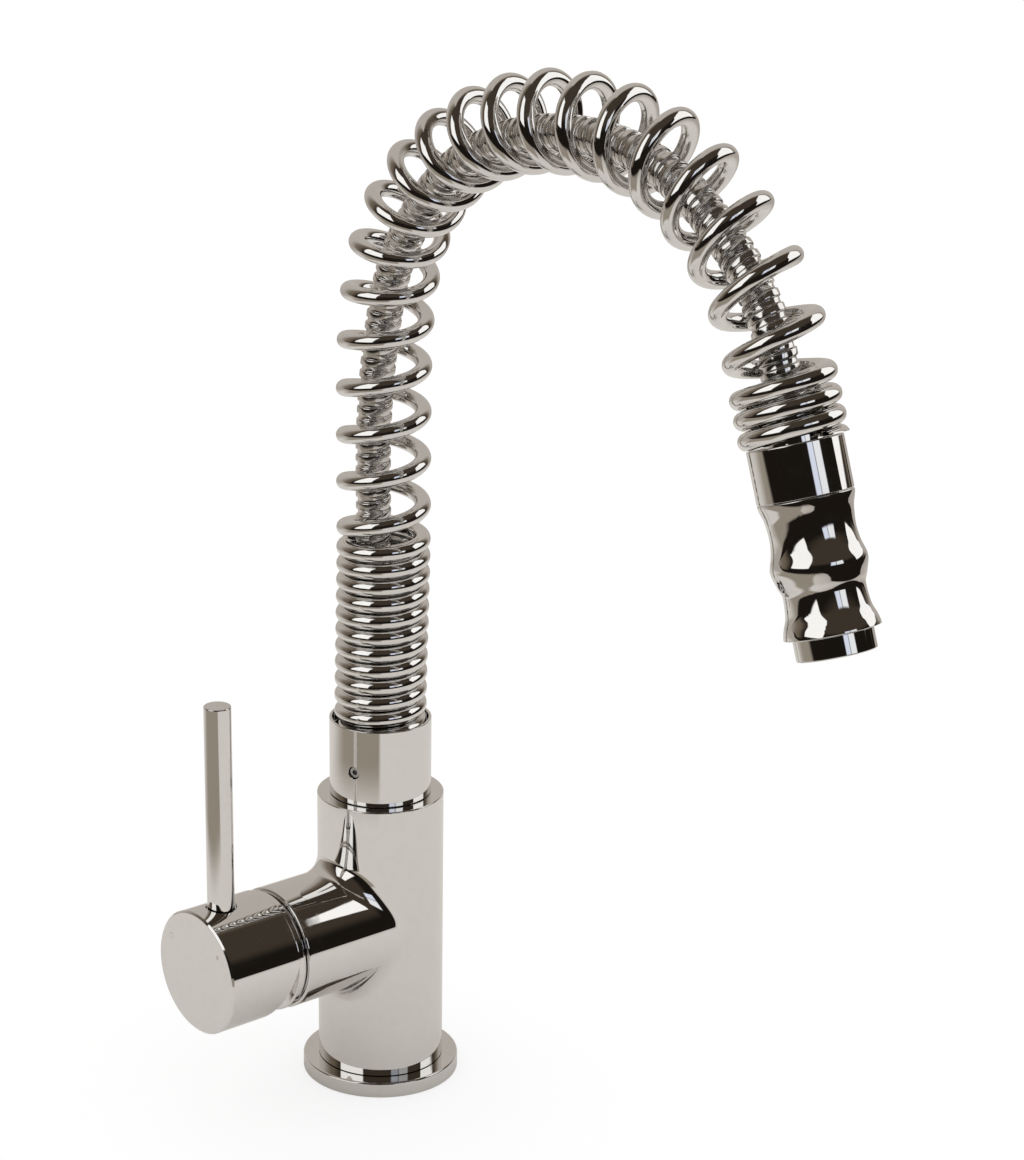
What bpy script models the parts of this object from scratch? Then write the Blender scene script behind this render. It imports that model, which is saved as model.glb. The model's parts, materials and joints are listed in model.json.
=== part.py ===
"""Deck-mounted single-lever kitchen mixer with a flexible, spring-carried spout.

A round flange carries a plain cylindrical body. A ceramic-disc cartridge lies in a branch cast on
the body and is worked by a cup-shaped knob with an upright rod. On top, a swivelling collar holds
a thick self-supporting spring. A ribbed metal hose runs through the spring, up, over and down to
a turned hand spray.

Axes: +Z up, the spout reaches towards -Y, the lever's branch points to -X, and the origin is the
centre of the underside, where the mixer stands on its deck.
Every length below is in metres, through the unit MM.
"""
import math

import bmesh
import bpy
import numpy as np
from mathutils import Matrix, Vector

MM = 0.001

# Fits and mesh steps
SEAT_GAP = 0.3 * MM
RUNNING_GAP = 0.5 * MM
PIN_CLEARANCE = 0.15 * MM
CUT_OVERRUN = 2.0 * MM
MERGE = 0.002 * MM
OUTER_STEPS = 32
SPRAY_STEPS = 28
INNER_STEPS = 16
SMALL_STEPS = 14
TINY_STEPS = 10

# Base and body
BODY_RADIUS = 24.0 * MM
BODY_TOP = 115.0 * MM
BODY_EDGE = 0.5 * MM
BODY_LEDGE = 3.0 * MM
SPIGOT_RADIUS = BODY_RADIUS - BODY_LEDGE
FLANGE_REACH = 6.0 * MM
FLANGE_RADIUS = BODY_RADIUS + FLANGE_REACH
FLANGE_HEIGHT = 6.0 * MM
FLANGE_EDGE = 0.8 * MM
GASKET_SET = 0.5 * MM
GASKET_INNER = BODY_RADIUS + GASKET_SET
GASKET_WIDTH = 3.4 * MM
GASKET_HEIGHT = 1.8 * MM
INLET_RADIUS = 5.0 * MM
INLET_DEPTH = 14.0 * MM
INLET_SPREAD = 9.5 * MM
INLET_SETBACK = 5.0 * MM
STUD_RADIUS = 4.0 * MM
STUD_DEPTH = 16.0 * MM
STUD_REACH = 12.5 * MM

# Branch for the cartridge, measured out from the body's axis
BRANCH_HEIGHT = 64.0 * MM
BRANCH_INSET = 0.8 * MM
BRANCH_RADIUS = BODY_RADIUS - BRANCH_INSET
BRANCH_LENGTH = 51.8 * MM
BRANCH_LIP = 0.9 * MM
BRANCH_WALL = 3.6 * MM
BLEND_RADIUS = 5.0 * MM
BLEND_LEAST = 0.6 * MM
BLEND_STEPS = 3
BLEND_TUCK = 0.25 * MM
BLEND_ROOT = 2.0 * MM
ROOT_INSET = 6.4 * MM
ROOT_RADIUS = BRANCH_RADIUS - ROOT_INSET
THREAD_RADIUS = BRANCH_RADIUS - BRANCH_WALL
THREAD_STEP = 1.8 * MM
THREAD_LENGTH = 7.8 * MM
CHAMBER_RADIUS = THREAD_RADIUS - THREAD_STEP

# Cartridge: its nut sits on the branch's front, and its height sets the chamber's depth
NUT_PROUD = 1.5 * MM
NUT_LIP = 3.5 * MM
NUT_SKIRT = 5.0 * MM
CARTRIDGE_HEIGHT = 23.7 * MM
NUT_FRONT = BRANCH_LENGTH + NUT_PROUD
SHELL_TOP = NUT_FRONT - NUT_LIP - SEAT_GAP
BASE_LOW = SHELL_TOP - CARTRIDGE_HEIGHT
CHAMBER_FLOOR = BASE_LOW - SEAT_GAP
BASE_HEIGHT = 4.0 * MM
BASE_RING_WIDTH = 1.3 * MM
BASE_RING_HEIGHT = 1.8 * MM
BASE_RING_CLEARANCE = 0.2 * MM
SHELL_RADIUS = CHAMBER_RADIUS - SEAT_GAP
SHELL_WALL = 3.0 * MM
SHELL_BORE = SHELL_RADIUS - SHELL_WALL
SHELL_LIP_HEIGHT = 2.0 * MM
FIXED_DISC_RADIUS = SHELL_BORE - RUNNING_GAP
FIXED_DISC_HEIGHT = 3.0 * MM
# The ports lie on the fixed disc: their circle and radii are shares of its radius.
PORT_CIRCLE_SHARE = 0.586
PORT_RADIUS_SHARE = 0.207
OUTLET_PORT_RADIUS_SHARE = 0.243
MOVING_DISC_SET = 1.5 * MM
MOVING_DISC_ROOM = 2.0 * MM
MOVING_DISC_RADIUS = SHELL_BORE - MOVING_DISC_SET - MOVING_DISC_ROOM
MOVING_DISC_HEIGHT = 3.5 * MM
MIXING_RIM = 4.6 * MM
MIXING_RADIUS = MOVING_DISC_RADIUS - MIXING_RIM
MIXING_DEPTH = 1.8 * MM
TURRET_RADIUS = SHELL_BORE - RUNNING_GAP
TURRET_STEP = 1.3 * MM
TURRET_NECK_RADIUS = TURRET_RADIUS - TURRET_STEP
TURRET_CLEARANCE = 0.4 * MM
TURRET_PROUD = 2.5 * MM
TURRET_TOP = SHELL_TOP + TURRET_PROUD
# The turret carries the slider and the stem: their widths are shares of its radii.
SLIDER_HEIGHT = 3.9 * MM
SLIDER_LENGTH_SHARE = 1.143
SLIDER_WIDTH_SHARE = 1.0
SLIDER_LENGTH = TURRET_RADIUS * SLIDER_LENGTH_SHARE
SLIDER_WIDTH = TURRET_RADIUS * SLIDER_WIDTH_SHARE
TURRET_SLOT_SHARE = 1.102
TURRET_SLOT_LENGTH = TURRET_NECK_RADIUS * TURRET_SLOT_SHARE
SHELL_LIP_RADIUS = TURRET_NECK_RADIUS + TURRET_CLEARANCE
NUT_BORE_STEP = 0.8 * MM
NUT_BORE = SHELL_LIP_RADIUS + NUT_BORE_STEP
PIVOT_SINK = 1.5 * MM
PIVOT = SHELL_TOP - PIVOT_SINK
PIN_RADIUS = 1.5 * MM
PIN_INSET = 0.7 * MM
STEM_RADIUS_SHARE = 0.331
STEM_RADIUS = TURRET_NECK_RADIUS * STEM_RADIUS_SHARE
STEM_NECK_SHARE = 0.452
STEM_NECK_RADIUS = STEM_RADIUS * STEM_NECK_SHARE
STEM_SHOULDER = 4.4 * MM
TIP_RADIUS_SHARE = 0.619
TIP_RADIUS = STEM_RADIUS * TIP_RADIUS_SHARE
TIP_CLEARANCE = 0.3 * MM
TIP_RISE = 0.2 * MM

# Cover ring, knob and lever rod
GROOVE_WIDTH = 1.8 * MM
GROOVE_DEPTH = 1.3 * MM
RING_INSET = 0.4 * MM
RING_RADIUS = BRANCH_RADIUS - RING_INSET
RING_LIP = 2.7 * MM
RING_ROUND = 0.8 * MM
RING_WALL = 1.5 * MM
DOME_INSET = 5.15 * MM
DOME_WIDTH = 3.65 * MM
DOME_MOUTH = RING_RADIUS - DOME_INSET - DOME_WIDTH
KNOB_PROUD = 0.7 * MM
KNOB_RADIUS = RING_RADIUS + KNOB_PROUD
KNOB_LENGTH = 30.2 * MM
KNOB_BEVEL = 1.2 * MM
KNOB_WALL = 1.5 * MM
KNOB_CAVITY_DEPTH = 12.0 * MM
KNOB_END_WALL = 6.1 * MM
SOCKET_CLEARANCE = 0.3 * MM
LIFT_MAX = math.radians(22.0)
ROD_RADIUS = 5.05 * MM
ROD_SETBACK = 11.8 * MM
ROD_TOP = 102.0 * MM
ROD_SINK = 2.6 * MM
ROD_END_ROUND = 1.6 * MM
ROD_TOP_EDGE = 0.5 * MM
ROD_SEAT_CLEARANCE = 0.5 * MM
ROD_STUD_RADIUS = 3.0 * MM
ROD_STUD_LENGTH = 7.0 * MM
HANDLE_SCREW_RADIUS = 2.5 * MM
HEX_SHARE = 0.56
HEX_DEPTH_SHARE = 0.45

# Hose, and the spring wound about it
HOSE_RADIUS = 6.5 * MM
HOSE_RIB_DEPTH = 0.7 * MM
HOSE_RIB_PITCH = 4.5 * MM
HOSE_BORE = 3.6 * MM
HOSE_BORE_SPACING = 12.0 * MM
HOSE_ROOM = 4.95 * MM
WIRE_RADIUS = 2.95 * MM
TURN_GAP = 0.58 * MM
CLOSE_PITCH = 2.0 * WIRE_RADIUS + TURN_GAP
COIL_RADIUS = HOSE_RADIUS + HOSE_ROOM + WIRE_RADIUS
OPEN_PITCH = 17.5 * MM
HANG_STRETCH = 0.6 * MM
HANG_START_SHARE = 0.555
CLOSE_LOWER = 79.5 * MM
CLOSE_UPPER = 15.0 * MM
LOWER_CHANGE = 5.0 * MM
UPPER_CHANGE = 12.0 * MM
GROUND_RUN = 1.2 * MM
CURL_POINTS = 8
START_ANGLE = math.radians(-187.0)

# Swivel outlet and collar
SLEEVE_WALL = 1.2 * MM
SLEEVE_LENGTH = 13.0 * MM
SLEEVE_CLEARANCE = 0.5 * MM
SLEEVE_INNER = HOSE_RADIUS + SLEEVE_CLEARANCE
SLEEVE_RADIUS = SLEEVE_INNER + SLEEVE_WALL
PLUG_RADIUS = 6.8 * MM
PLUG_LENGTH = 13.0 * MM
FITTING_FLANGE_REACH = 2.0 * MM
FITTING_FLANGE_HEIGHT = 2.5 * MM
OUTLET_THREAD_RADIUS = 10.7 * MM
OUTLET_THREAD_LENGTH = 11.0 * MM
OUTLET_RADIUS = 12.0 * MM
OUTLET_LENGTH = 19.0 * MM
OUTLET_TOP = BODY_TOP + OUTLET_LENGTH
OUTLET_BORE = PLUG_RADIUS + RUNNING_GAP
WATER_BORE = 4.6 * MM
SHOULDER_REACH = 2.5 * MM
SHOULDER_RADIUS = OUTLET_RADIUS + SHOULDER_REACH
SHOULDER_HEIGHT = 2.0 * MM
O_RING_DEPTH = 1.7 * MM
O_RING_HEIGHT = 2.2 * MM
O_RING_PROUD = 0.2 * MM
LOWER_O_RING_SHARE = 0.342
SCREW_HEIGHT_SHARE = 0.684
UPPER_O_RING_SHARE = 0.895
LOWER_O_RING = BODY_TOP + OUTLET_LENGTH * LOWER_O_RING_SHARE
SCREW_HEIGHT = BODY_TOP + OUTLET_LENGTH * SCREW_HEIGHT_SHARE
UPPER_O_RING = BODY_TOP + OUTLET_LENGTH * UPPER_O_RING_SHARE
SWIVEL_CLEARANCE = 0.5 * MM
COIL_CLEARANCE = 0.8 * MM
COLLAR_WALL = 1.1 * MM
COLLAR_RADIUS = COIL_RADIUS + WIRE_RADIUS + COIL_CLEARANCE + COLLAR_WALL
COLLAR_FLOOR = 2.0 * MM
COLLAR_CUP_DEPTH = 8.7 * MM
COLLAR_TOP = OUTLET_TOP + SEAT_GAP + COLLAR_FLOOR + COLLAR_CUP_DEPTH
COLLAR_EDGE = 0.3 * MM
WASHER_RIM = 1.25 * MM
WASHER_STEP = 0.7 * MM
WASHER_OUTER = COLLAR_RADIUS - WASHER_RIM
WASHER_INNER = SHOULDER_RADIUS + WASHER_STEP
WASHER_HEIGHT = 1.0 * MM
SCREW_RADIUS = 2.0 * MM
SCREW_INSET = 0.9 * MM
SCREW_POINT_RADIUS = 1.4 * MM
SCREW_POINT_LENGTH = 2.2 * MM
SCREW_GROOVE_DEPTH = 1.8 * MM
SCREW_GROOVE_WIDTH = 3.6 * MM
SCREW_AZIMUTH = math.radians(200.0)

# The line that the spring is wound about, from the collar's seat to the spray: a share of its
# length, then the heading there, in degrees from straight up.
ROUTE_LENGTH = 451.0 * MM
ROUTE_STEP = 0.5 * MM
ROUTE_EASE = 6.0 * MM
ROUTE_SHARES = (
    (0.0, 0.0),
    (0.0665, 1.9),
    (0.1286, 1.9),
    (0.1951, 0.0),
    (0.2882, 0.3),
    (0.3548, 5.6),
    (0.4035, 16.5),
    (0.4745, 40.5),
    (0.5543, 63.2),
    (0.6386, 81.4),
    (0.7140, 96.3),
    (0.8027, 121.0),
    (0.8825, 143.5),
    (0.9224, 156.0),
    (0.9446, 160.8),
    (1.0, 160.8),
)
FLEX_PLACE_SHARE = 0.69
# How the hose lies in the spring: share of the route, then inward and aside as shares of the room.
HOSE_SWAY_SHARES = (
    (0.0, 0.0, 0.0),
    (0.058, 0.0, 0.0),
    (0.155, -0.48, -0.53),
    (0.244, -0.56, -0.53),
    (0.377, 0.24, -0.28),
    (0.477, 0.79, 0.0),
    (0.665, 0.79, 0.12),
    (0.820, 0.69, 0.08),
    (0.936, 0.0, 0.0),
    (1.0, 0.0, 0.0),
)

# Hand spray, measured down its own axis from the top of its ferrule
FERRULE_LEDGE = 2.2 * MM
FERRULE_BORE = SLEEVE_RADIUS + FERRULE_LEDGE
FERRULE_WALL = 4.95 * MM
FERRULE_RADIUS = FERRULE_BORE + FERRULE_WALL
FERRULE_LENGTH = 17.0 * MM
FERRULE_EDGE = 0.5 * MM
FERRULE_NECK_CLEARANCE = 1.55 * MM
FERRULE_NECK_RADIUS = COIL_RADIUS - WIRE_RADIUS - FERRULE_NECK_CLEARANCE
FERRULE_NECK_LENGTH = 11.0 * MM
FERRULE_STEP = 7.5 * MM
HOSE_END = 3.0 * MM
END_FLANGE_RADIUS = FERRULE_BORE - RUNNING_GAP
END_FLANGE_HEIGHT = 2.6 * MM
WASHER_THICKNESS = 1.4 * MM
CONNECTOR_STEP = 1.1 * MM
CONNECTOR_RADIUS = FERRULE_BORE - CONNECTOR_STEP
CONNECTOR_LENGTH = 10.0 * MM
INNER_TUBE_RADIUS = 6.4 * MM
GRIP_PROUD = 0.15 * MM
GRIP_RADIUS = FERRULE_RADIUS + GRIP_PROUD
GRIP_LENGTH = 42.9 * MM
GRIP_STATIONS = 14
GRIP_EDGE = 0.4 * MM
# The grip's wavy outline: share of its length, then share of its radius.
GRIP_SHARES = (
    (0.0, 0.994),
    (0.131, 0.906),
    (0.261, 0.877),
    (0.364, 0.906),
    (0.494, 0.994),
    (0.611, 0.916),
    (0.690, 0.842),
    (0.834, 0.871),
    (0.937, 0.968),
    (1.0, 1.0),
)
GRIP_WAIST_SHARE = min(share for place, share in GRIP_SHARES)
GRIP_WALL = 1.75 * MM
GRIP_BORE = GRIP_RADIUS * GRIP_WAIST_SHARE - GRIP_WALL
GRIP_TOP_BORE = CONNECTOR_RADIUS + RUNNING_GAP
GRIP_TOP_WALL = 5.0 * MM
GRIP_SCREW_PLACE_SHARE = 0.601
GRIP_SCREW_RADIUS = 1.4 * MM
GRIP_SCREW_INSET = 0.35 * MM
GRIP_SCREW_SINK = 0.6 * MM
GRIP_SCREW_AZIMUTH = math.radians(160.0)
NOZZLE_REACH = 1.55 * MM
NOZZLE_RADIUS = GRIP_BORE + NOZZLE_REACH
NOZZLE_LENGTH = 6.9 * MM
NOZZLE_EDGE = 0.6 * MM
NOZZLE_SPIGOT_LENGTH = 8.0 * MM
NOZZLE_WALL = 0.8 * MM
NOZZLE_LIP = 1.0 * MM
NOZZLE_LIP_WIDTH = 1.2 * MM
AERATOR_HEIGHT = 7.0 * MM
AERATOR_WALL = 1.2 * MM
AERATOR_FLOOR = 1.6 * MM
AERATOR_HOLE = 1.0 * MM
AERATOR_CIRCLE_SHARE = 0.6
AERATOR_HOLES = 6


def material(name, colour, roughness, metallic):
    """One Principled material."""
    made = bpy.data.materials.new(name)
    made.use_nodes = True
    shader = made.node_tree.nodes["Principled BSDF"]
    shader.inputs["Base Color"].default_value = (*colour, 1.0)
    shader.inputs["Roughness"].default_value = roughness
    shader.inputs["Metallic"].default_value = metallic
    return made


def chrome(name):
    return material(name, (0.78, 0.77, 0.76), 0.06, 1.0)


def brass(name):
    return material(name, (0.72, 0.53, 0.26), 0.3, 1.0)


def steel(name):
    return material(name, (0.55, 0.55, 0.56), 0.3, 1.0)


def rubber(name):
    return material(name, (0.03, 0.03, 0.03), 0.7, 0.0)


def ceramic(name):
    return material(name, (0.86, 0.85, 0.82), 0.25, 0.0)


def plastic(name, grey):
    return material(name, (grey, grey, grey), 0.45, 0.0)


def place(ob, frame, axis):
    """Puts an object at a frame and hangs it on its joint's axis."""
    bpy.context.scene.collection.objects.link(ob)
    if axis is not None:
        ob.parent = axis
        ob.matrix_parent_inverse = axis.matrix_world.inverted()
    ob.matrix_basis = frame
    return ob


def axis_empty(name, frame, parent):
    """An empty on a joint's axis."""
    empty = bpy.data.objects.new(name, None)
    empty.empty_display_size = BODY_RADIUS
    place(empty, frame, parent)
    bpy.context.view_layer.update()
    return empty


def finish(mesh, look, crease=math.radians(32.0)):
    """Shades a round piece smooth, with its real edges sharp."""
    mesh.materials.append(look)
    mesh.shade_smooth()
    mesh.set_sharp_from_angle(angle=crease)


def as_object(bm, name, look, frame, axis):
    bmesh.ops.remove_doubles(bm, verts=bm.verts, dist=MERGE)
    bmesh.ops.recalc_face_normals(bm, faces=bm.faces)
    mesh = bpy.data.meshes.new(name)
    bm.to_mesh(mesh)
    bm.free()
    if look is not None:
        finish(mesh, look)
    return place(bpy.data.objects.new(name, mesh), frame, axis)


def turned(name, profile, steps, look, frame, axis=None):
    """Turns a section (radius, height) about the frame's Z. A section off the axis closes on itself."""
    bm = bmesh.new()
    verts = [bm.verts.new((r, 0.0, z)) for r, z in profile]
    edges = [bm.edges.new(pair) for pair in zip(verts, verts[1:])]
    if min(r for r, z in profile) > 0.0:
        edges.append(bm.edges.new((verts[-1], verts[0])))
    bmesh.ops.spin(
        bm,
        geom=verts + edges,
        cent=(0.0, 0.0, 0.0),
        axis=(0.0, 0.0, 1.0),
        angle=2.0 * math.pi,
        steps=steps,
        use_merge=True,
        use_duplicate=False,
    )
    return as_object(bm, name, look, frame, axis)


def rounded_box(name, size, centre, look, frame, axis=None):
    """A plain box: size and centre in the frame."""
    bm = bmesh.new()
    bmesh.ops.create_cube(bm, size=1.0)
    bmesh.ops.scale(bm, vec=size, verts=bm.verts)
    bmesh.ops.translate(bm, vec=centre, verts=bm.verts)
    return as_object(bm, name, look, frame, axis)


def cutter(made):
    made.hide_render = True
    made.display_type = "WIRE"
    return made


def round_cutter(name, radius, low, high, frame, steps=SMALL_STEPS, axis=None):
    profile = [(0.0, high), (radius, high), (radius, low), (0.0, low)]
    return cutter(turned(name, profile, steps, None, frame, axis))


def boolean(ob, other, operation="DIFFERENCE"):
    """A live Boolean modifier."""
    step = ob.modifiers.new(f"{operation.lower()} {other.name}", "BOOLEAN")
    step.object = other
    step.operation = operation
    step.solver = "EXACT"


def shift(x, y, z):
    return Matrix.Translation(Vector((x, y, z)))


def radial_frame(azimuth, height):
    """A frame whose Z points outward at this azimuth and height."""
    turn = Matrix.Rotation(azimuth, 4, "Z")
    tip = Matrix.Rotation(math.radians(90.0), 4, "Y")
    return shift(0.0, 0.0, height) @ turn @ tip


def o_ring(name, groove_radius, outer_radius, height, low, steps, frame, axis=None):
    """A six-sided ring in a groove: groove floor, outer radius, height and lower edge."""
    inner = groove_radius + SEAT_GAP
    corner = 0.25 * (outer_radius - inner)
    middle = low + 0.5 * height
    high = low + height
    profile = [
        (inner, middle),
        (inner + corner, low),
        (outer_radius - corner, low),
        (outer_radius, middle),
        (outer_radius - corner, high),
        (inner + corner, high),
    ]
    return turned(name, profile, steps, rubber(name), frame, axis)


def smooth_curve(stations, column, places):
    """Reads a smooth curve through a table's stations: a cubic with limited end slopes."""
    s = np.array([row[0] for row in stations])
    v = np.array([row[column] for row in stations])
    slope = np.zeros(len(s))
    step = np.diff(v) / np.diff(s)
    for i in range(1, len(s) - 1):
        if step[i - 1] * step[i] > 0.0:
            before, after = s[i] - s[i - 1], s[i + 1] - s[i]
            weight_before = 2.0 * after + before
            weight_after = after + 2.0 * before
            slope[i] = (weight_before + weight_after) / (
                weight_before / step[i - 1] + weight_after / step[i]
            )
    index = np.clip(np.searchsorted(s, places, side="right") - 1, 0, len(s) - 2)
    width = s[index + 1] - s[index]
    t = np.clip((places - s[index]) / width, 0.0, 1.0)
    low, high = v[index], v[index + 1]
    return (
        low * (1.0 + 2.0 * t) * (1.0 - t) ** 2
        + high * t**2 * (3.0 - 2.0 * t)
        + slope[index] * width * t * (1.0 - t) ** 2
        - slope[index + 1] * width * t**2 * (1.0 - t)
    )


def box_mean(values, half):
    """A running mean, with the ends repeated."""
    padded = np.concatenate([np.full(half, values[0]), values, np.full(half, values[-1])])
    total = np.cumsum(np.insert(padded, 0, 0.0))
    width = 2 * half + 1
    return (total[width:] - total[:-width]) / width


def route():
    """The line that the spring is wound about: places, points (reach, height) and headings."""
    count = int(round(ROUTE_LENGTH / ROUTE_STEP)) + 1
    places = np.linspace(0.0, ROUTE_LENGTH, count)
    heading = np.radians(smooth_curve(ROUTE_SHARES, 1, places / ROUTE_LENGTH))
    heading = box_mean(heading, int(round(ROUTE_EASE / ROUTE_STEP)))
    middle = 0.5 * (heading[1:] + heading[:-1])
    step = np.diff(places)
    reach = np.concatenate([[0.0], np.cumsum(np.sin(middle) * step)])
    height = np.concatenate([[0.0], np.cumsum(np.cos(middle) * step)]) + SPRING_SEAT
    return places, reach, height, heading


def on_route(places, inward, aside):
    """Points beside the route, which runs straight on past its end.

    Inward lies in the arch's plane, to its inner side, and aside is +X.
    """
    reach = np.interp(places, ROUTE_PLACES, ROUTE_REACH)
    height = np.interp(places, ROUTE_PLACES, ROUTE_HEIGHT)
    heading = np.interp(places, ROUTE_PLACES, ROUTE_HEADING)
    beyond = np.maximum(places - ROUTE_LENGTH, 0.0)
    reach = reach + inward * np.cos(heading) + beyond * np.sin(heading)
    height = height - inward * np.sin(heading) + beyond * np.cos(heading)
    return np.stack([aside, -reach, height], axis=1)


def tube(name, points, radii, depth, resolution, look, axis=None):
    """A tube along points: a poly curve with a round bevel and filled ends."""
    curve = bpy.data.curves.new(f"{name} line", "CURVE")
    curve.dimensions = "3D"
    curve.bevel_depth = depth
    curve.bevel_resolution = resolution
    curve.use_fill_caps = True
    spline = curve.splines.new("POLY")
    spline.points.add(len(points) - 1)
    for target, point, radius in zip(spline.points, points, radii):
        target.co = (*point, 1.0)
        target.radius = radius
    guide = place(bpy.data.objects.new(f"{name} guide", curve), Matrix.Identity(4), None)
    bpy.context.view_layer.update()
    swept = guide.evaluated_get(bpy.context.evaluated_depsgraph_get())
    mesh = bpy.data.meshes.new_from_object(swept)
    mesh.name = name
    bpy.data.objects.remove(guide, do_unlink=True)
    bm = bmesh.new()
    bm.from_mesh(mesh)
    bpy.data.meshes.remove(mesh)
    return as_object(bm, name, look, Matrix.Identity(4), axis)


def least_gap(points, wire, per_turn):
    """The least gap of a wound tube to itself, from points set close along its middle line."""
    places = np.arange(len(points))
    dense = np.linspace(0.0, len(points) - 1.0, (len(points) - 1) * 6 + 1)
    line = np.stack([np.interp(dense, places, points[:, i]) for i in range(3)], axis=1)
    skip = int(per_turn * 6 * 0.5)
    reach = int(per_turn * 6 * 1.6)
    least = math.inf
    for offset in range(skip, reach):
        apart = np.linalg.norm(line[offset:] - line[:-offset], axis=1)
        least = min(least, float(apart.min()))
    return least - 2.0 * wire


WORLD = Matrix.Identity(4)
BRANCH = shift(0.0, 0.0, BRANCH_HEIGHT) @ Matrix.Rotation(math.radians(-90.0), 4, "Y")
SPRING_SEAT = OUTLET_TOP + SEAT_GAP + COLLAR_FLOOR
ROUTE_PLACES, ROUTE_REACH, ROUTE_HEIGHT, ROUTE_HEADING = route()


def branch_point(ring, angle):
    """Reach at which a line along the branch, at this ring radius and angle, leaves the body."""
    side = ring * math.sin(angle)
    return math.sqrt(max(BODY_RADIUS**2 - side**2, 0.0))


def blend_section(angle):
    """The fillet between branch and body in one half-plane, as points (ring radius, reach).

    A ball rolls between the branch's straight side and the body's wall, which this plane cuts
    in a part of an ellipse. It shrinks towards the sides, where the two walls run together.
    """
    ball = BLEND_LEAST + (BLEND_RADIUS - BLEND_LEAST) * math.cos(angle) ** 2
    ring = BRANCH_RADIUS + ball
    behind = branch_point(ring, angle)
    limit = BODY_RADIUS / max(abs(math.sin(angle)), 0.001)
    radii = np.linspace(BRANCH_RADIUS * 0.6, min(limit, BODY_RADIUS * 3.0), 1200)
    sides = np.clip(BODY_RADIUS**2 - (radii * math.sin(angle)) ** 2, 0.0, None)
    wall = np.sqrt(sides)
    low, high = behind, BODY_RADIUS + 2.0 * ball
    for _ in range(50):
        centre = 0.5 * (low + high)
        if np.hypot(radii - ring, wall - centre).min() > ball:
            high = centre
        else:
            low = centre
    nearest = np.hypot(radii - ring, wall - centre).argmin()
    touch = (radii[nearest], wall[nearest])
    turn = math.atan2(touch[1] - centre, touch[0] - ring)
    points = []
    for i in range(BLEND_STEPS + 1):
        # From the branch's side, straight below the ball, round to the body's wall.
        a = math.pi + (turn - math.pi if turn > 0.0 else turn + math.pi) * i / BLEND_STEPS
        points.append((ring + ball * math.cos(a), centre + ball * math.sin(a)))
    outward = Vector((touch[0] - ring, touch[1] - centre)).normalized()
    tuck = (touch[0] + outward.x * BLEND_TUCK, touch[1] + outward.y * BLEND_TUCK)
    return points + [tuck]


def branch_mesh(name):
    """The cast branch with its rolled fillet, as a ring-by-ring loft capped inside the body."""
    bm = bmesh.new()
    front = BRANCH_LENGTH
    rings = []
    for i in range(OUTER_STEPS):
        angle = 2.0 * math.pi * i / OUTER_STEPS
        section = [
            (BRANCH_RADIUS - BRANCH_LIP, front),
            (BRANCH_RADIUS, front - BRANCH_LIP),
        ]
        section += blend_section(angle)
        section.append((ROOT_RADIUS, BLEND_ROOT))
        rings.append(
            [
                bm.verts.new((r * math.cos(angle), r * math.sin(angle), reach))
                for r, reach in section
            ]
        )
    for i in range(OUTER_STEPS):
        here, there = rings[i], rings[(i + 1) % OUTER_STEPS]
        for j in range(len(here) - 1):
            bm.faces.new((here[j], there[j], there[j + 1], here[j + 1]))
    bm.faces.new([ring[0] for ring in rings])
    bm.faces.new([ring[-1] for ring in reversed(rings)])
    return as_object(bm, name, None, BRANCH, None)


def make_body():
    look = chrome("mixer_body")
    profile = [
        (0.0, 0.0),
        (SPIGOT_RADIUS, 0.0),
        (SPIGOT_RADIUS, FLANGE_HEIGHT + SEAT_GAP),
        (BODY_RADIUS, FLANGE_HEIGHT + SEAT_GAP),
        (BODY_RADIUS, BODY_TOP - BODY_EDGE),
        (BODY_RADIUS - BODY_EDGE, BODY_TOP),
        (0.0, BODY_TOP),
    ]
    body = turned("mixer_body", profile, OUTER_STEPS, look, WORLD)
    branch = cutter(branch_mesh("branch shape"))
    boolean(body, branch, "UNION")
    chamber_profile = [
        (0.0, BRANCH_LENGTH + CUT_OVERRUN),
        (THREAD_RADIUS, BRANCH_LENGTH + CUT_OVERRUN),
        (THREAD_RADIUS, BRANCH_LENGTH - THREAD_LENGTH),
        (CHAMBER_RADIUS, BRANCH_LENGTH - THREAD_LENGTH),
        (CHAMBER_RADIUS, CHAMBER_FLOOR),
        (0.0, CHAMBER_FLOOR),
    ]
    boolean(body, cutter(turned("chamber cut", chamber_profile, INNER_STEPS, None, BRANCH)))
    for side in (-1.0, 1.0):
        frame = shift(side * INLET_SPREAD, INLET_SETBACK, 0.0)
        name = "inlet cut left" if side < 0.0 else "inlet cut right"
        boolean(body, round_cutter(name, INLET_RADIUS, -CUT_OVERRUN, INLET_DEPTH, frame))
    frame = shift(0.0, -STUD_REACH, 0.0)
    boolean(body, round_cutter("stud cut", STUD_RADIUS, -CUT_OVERRUN, STUD_DEPTH, frame))
    low = BODY_TOP - OUTLET_THREAD_LENGTH - SEAT_GAP
    radius = OUTLET_THREAD_RADIUS + SEAT_GAP
    boolean(
        body,
        round_cutter("outlet cut", radius, low, BODY_TOP + CUT_OVERRUN, WORLD, INNER_STEPS),
    )


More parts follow.
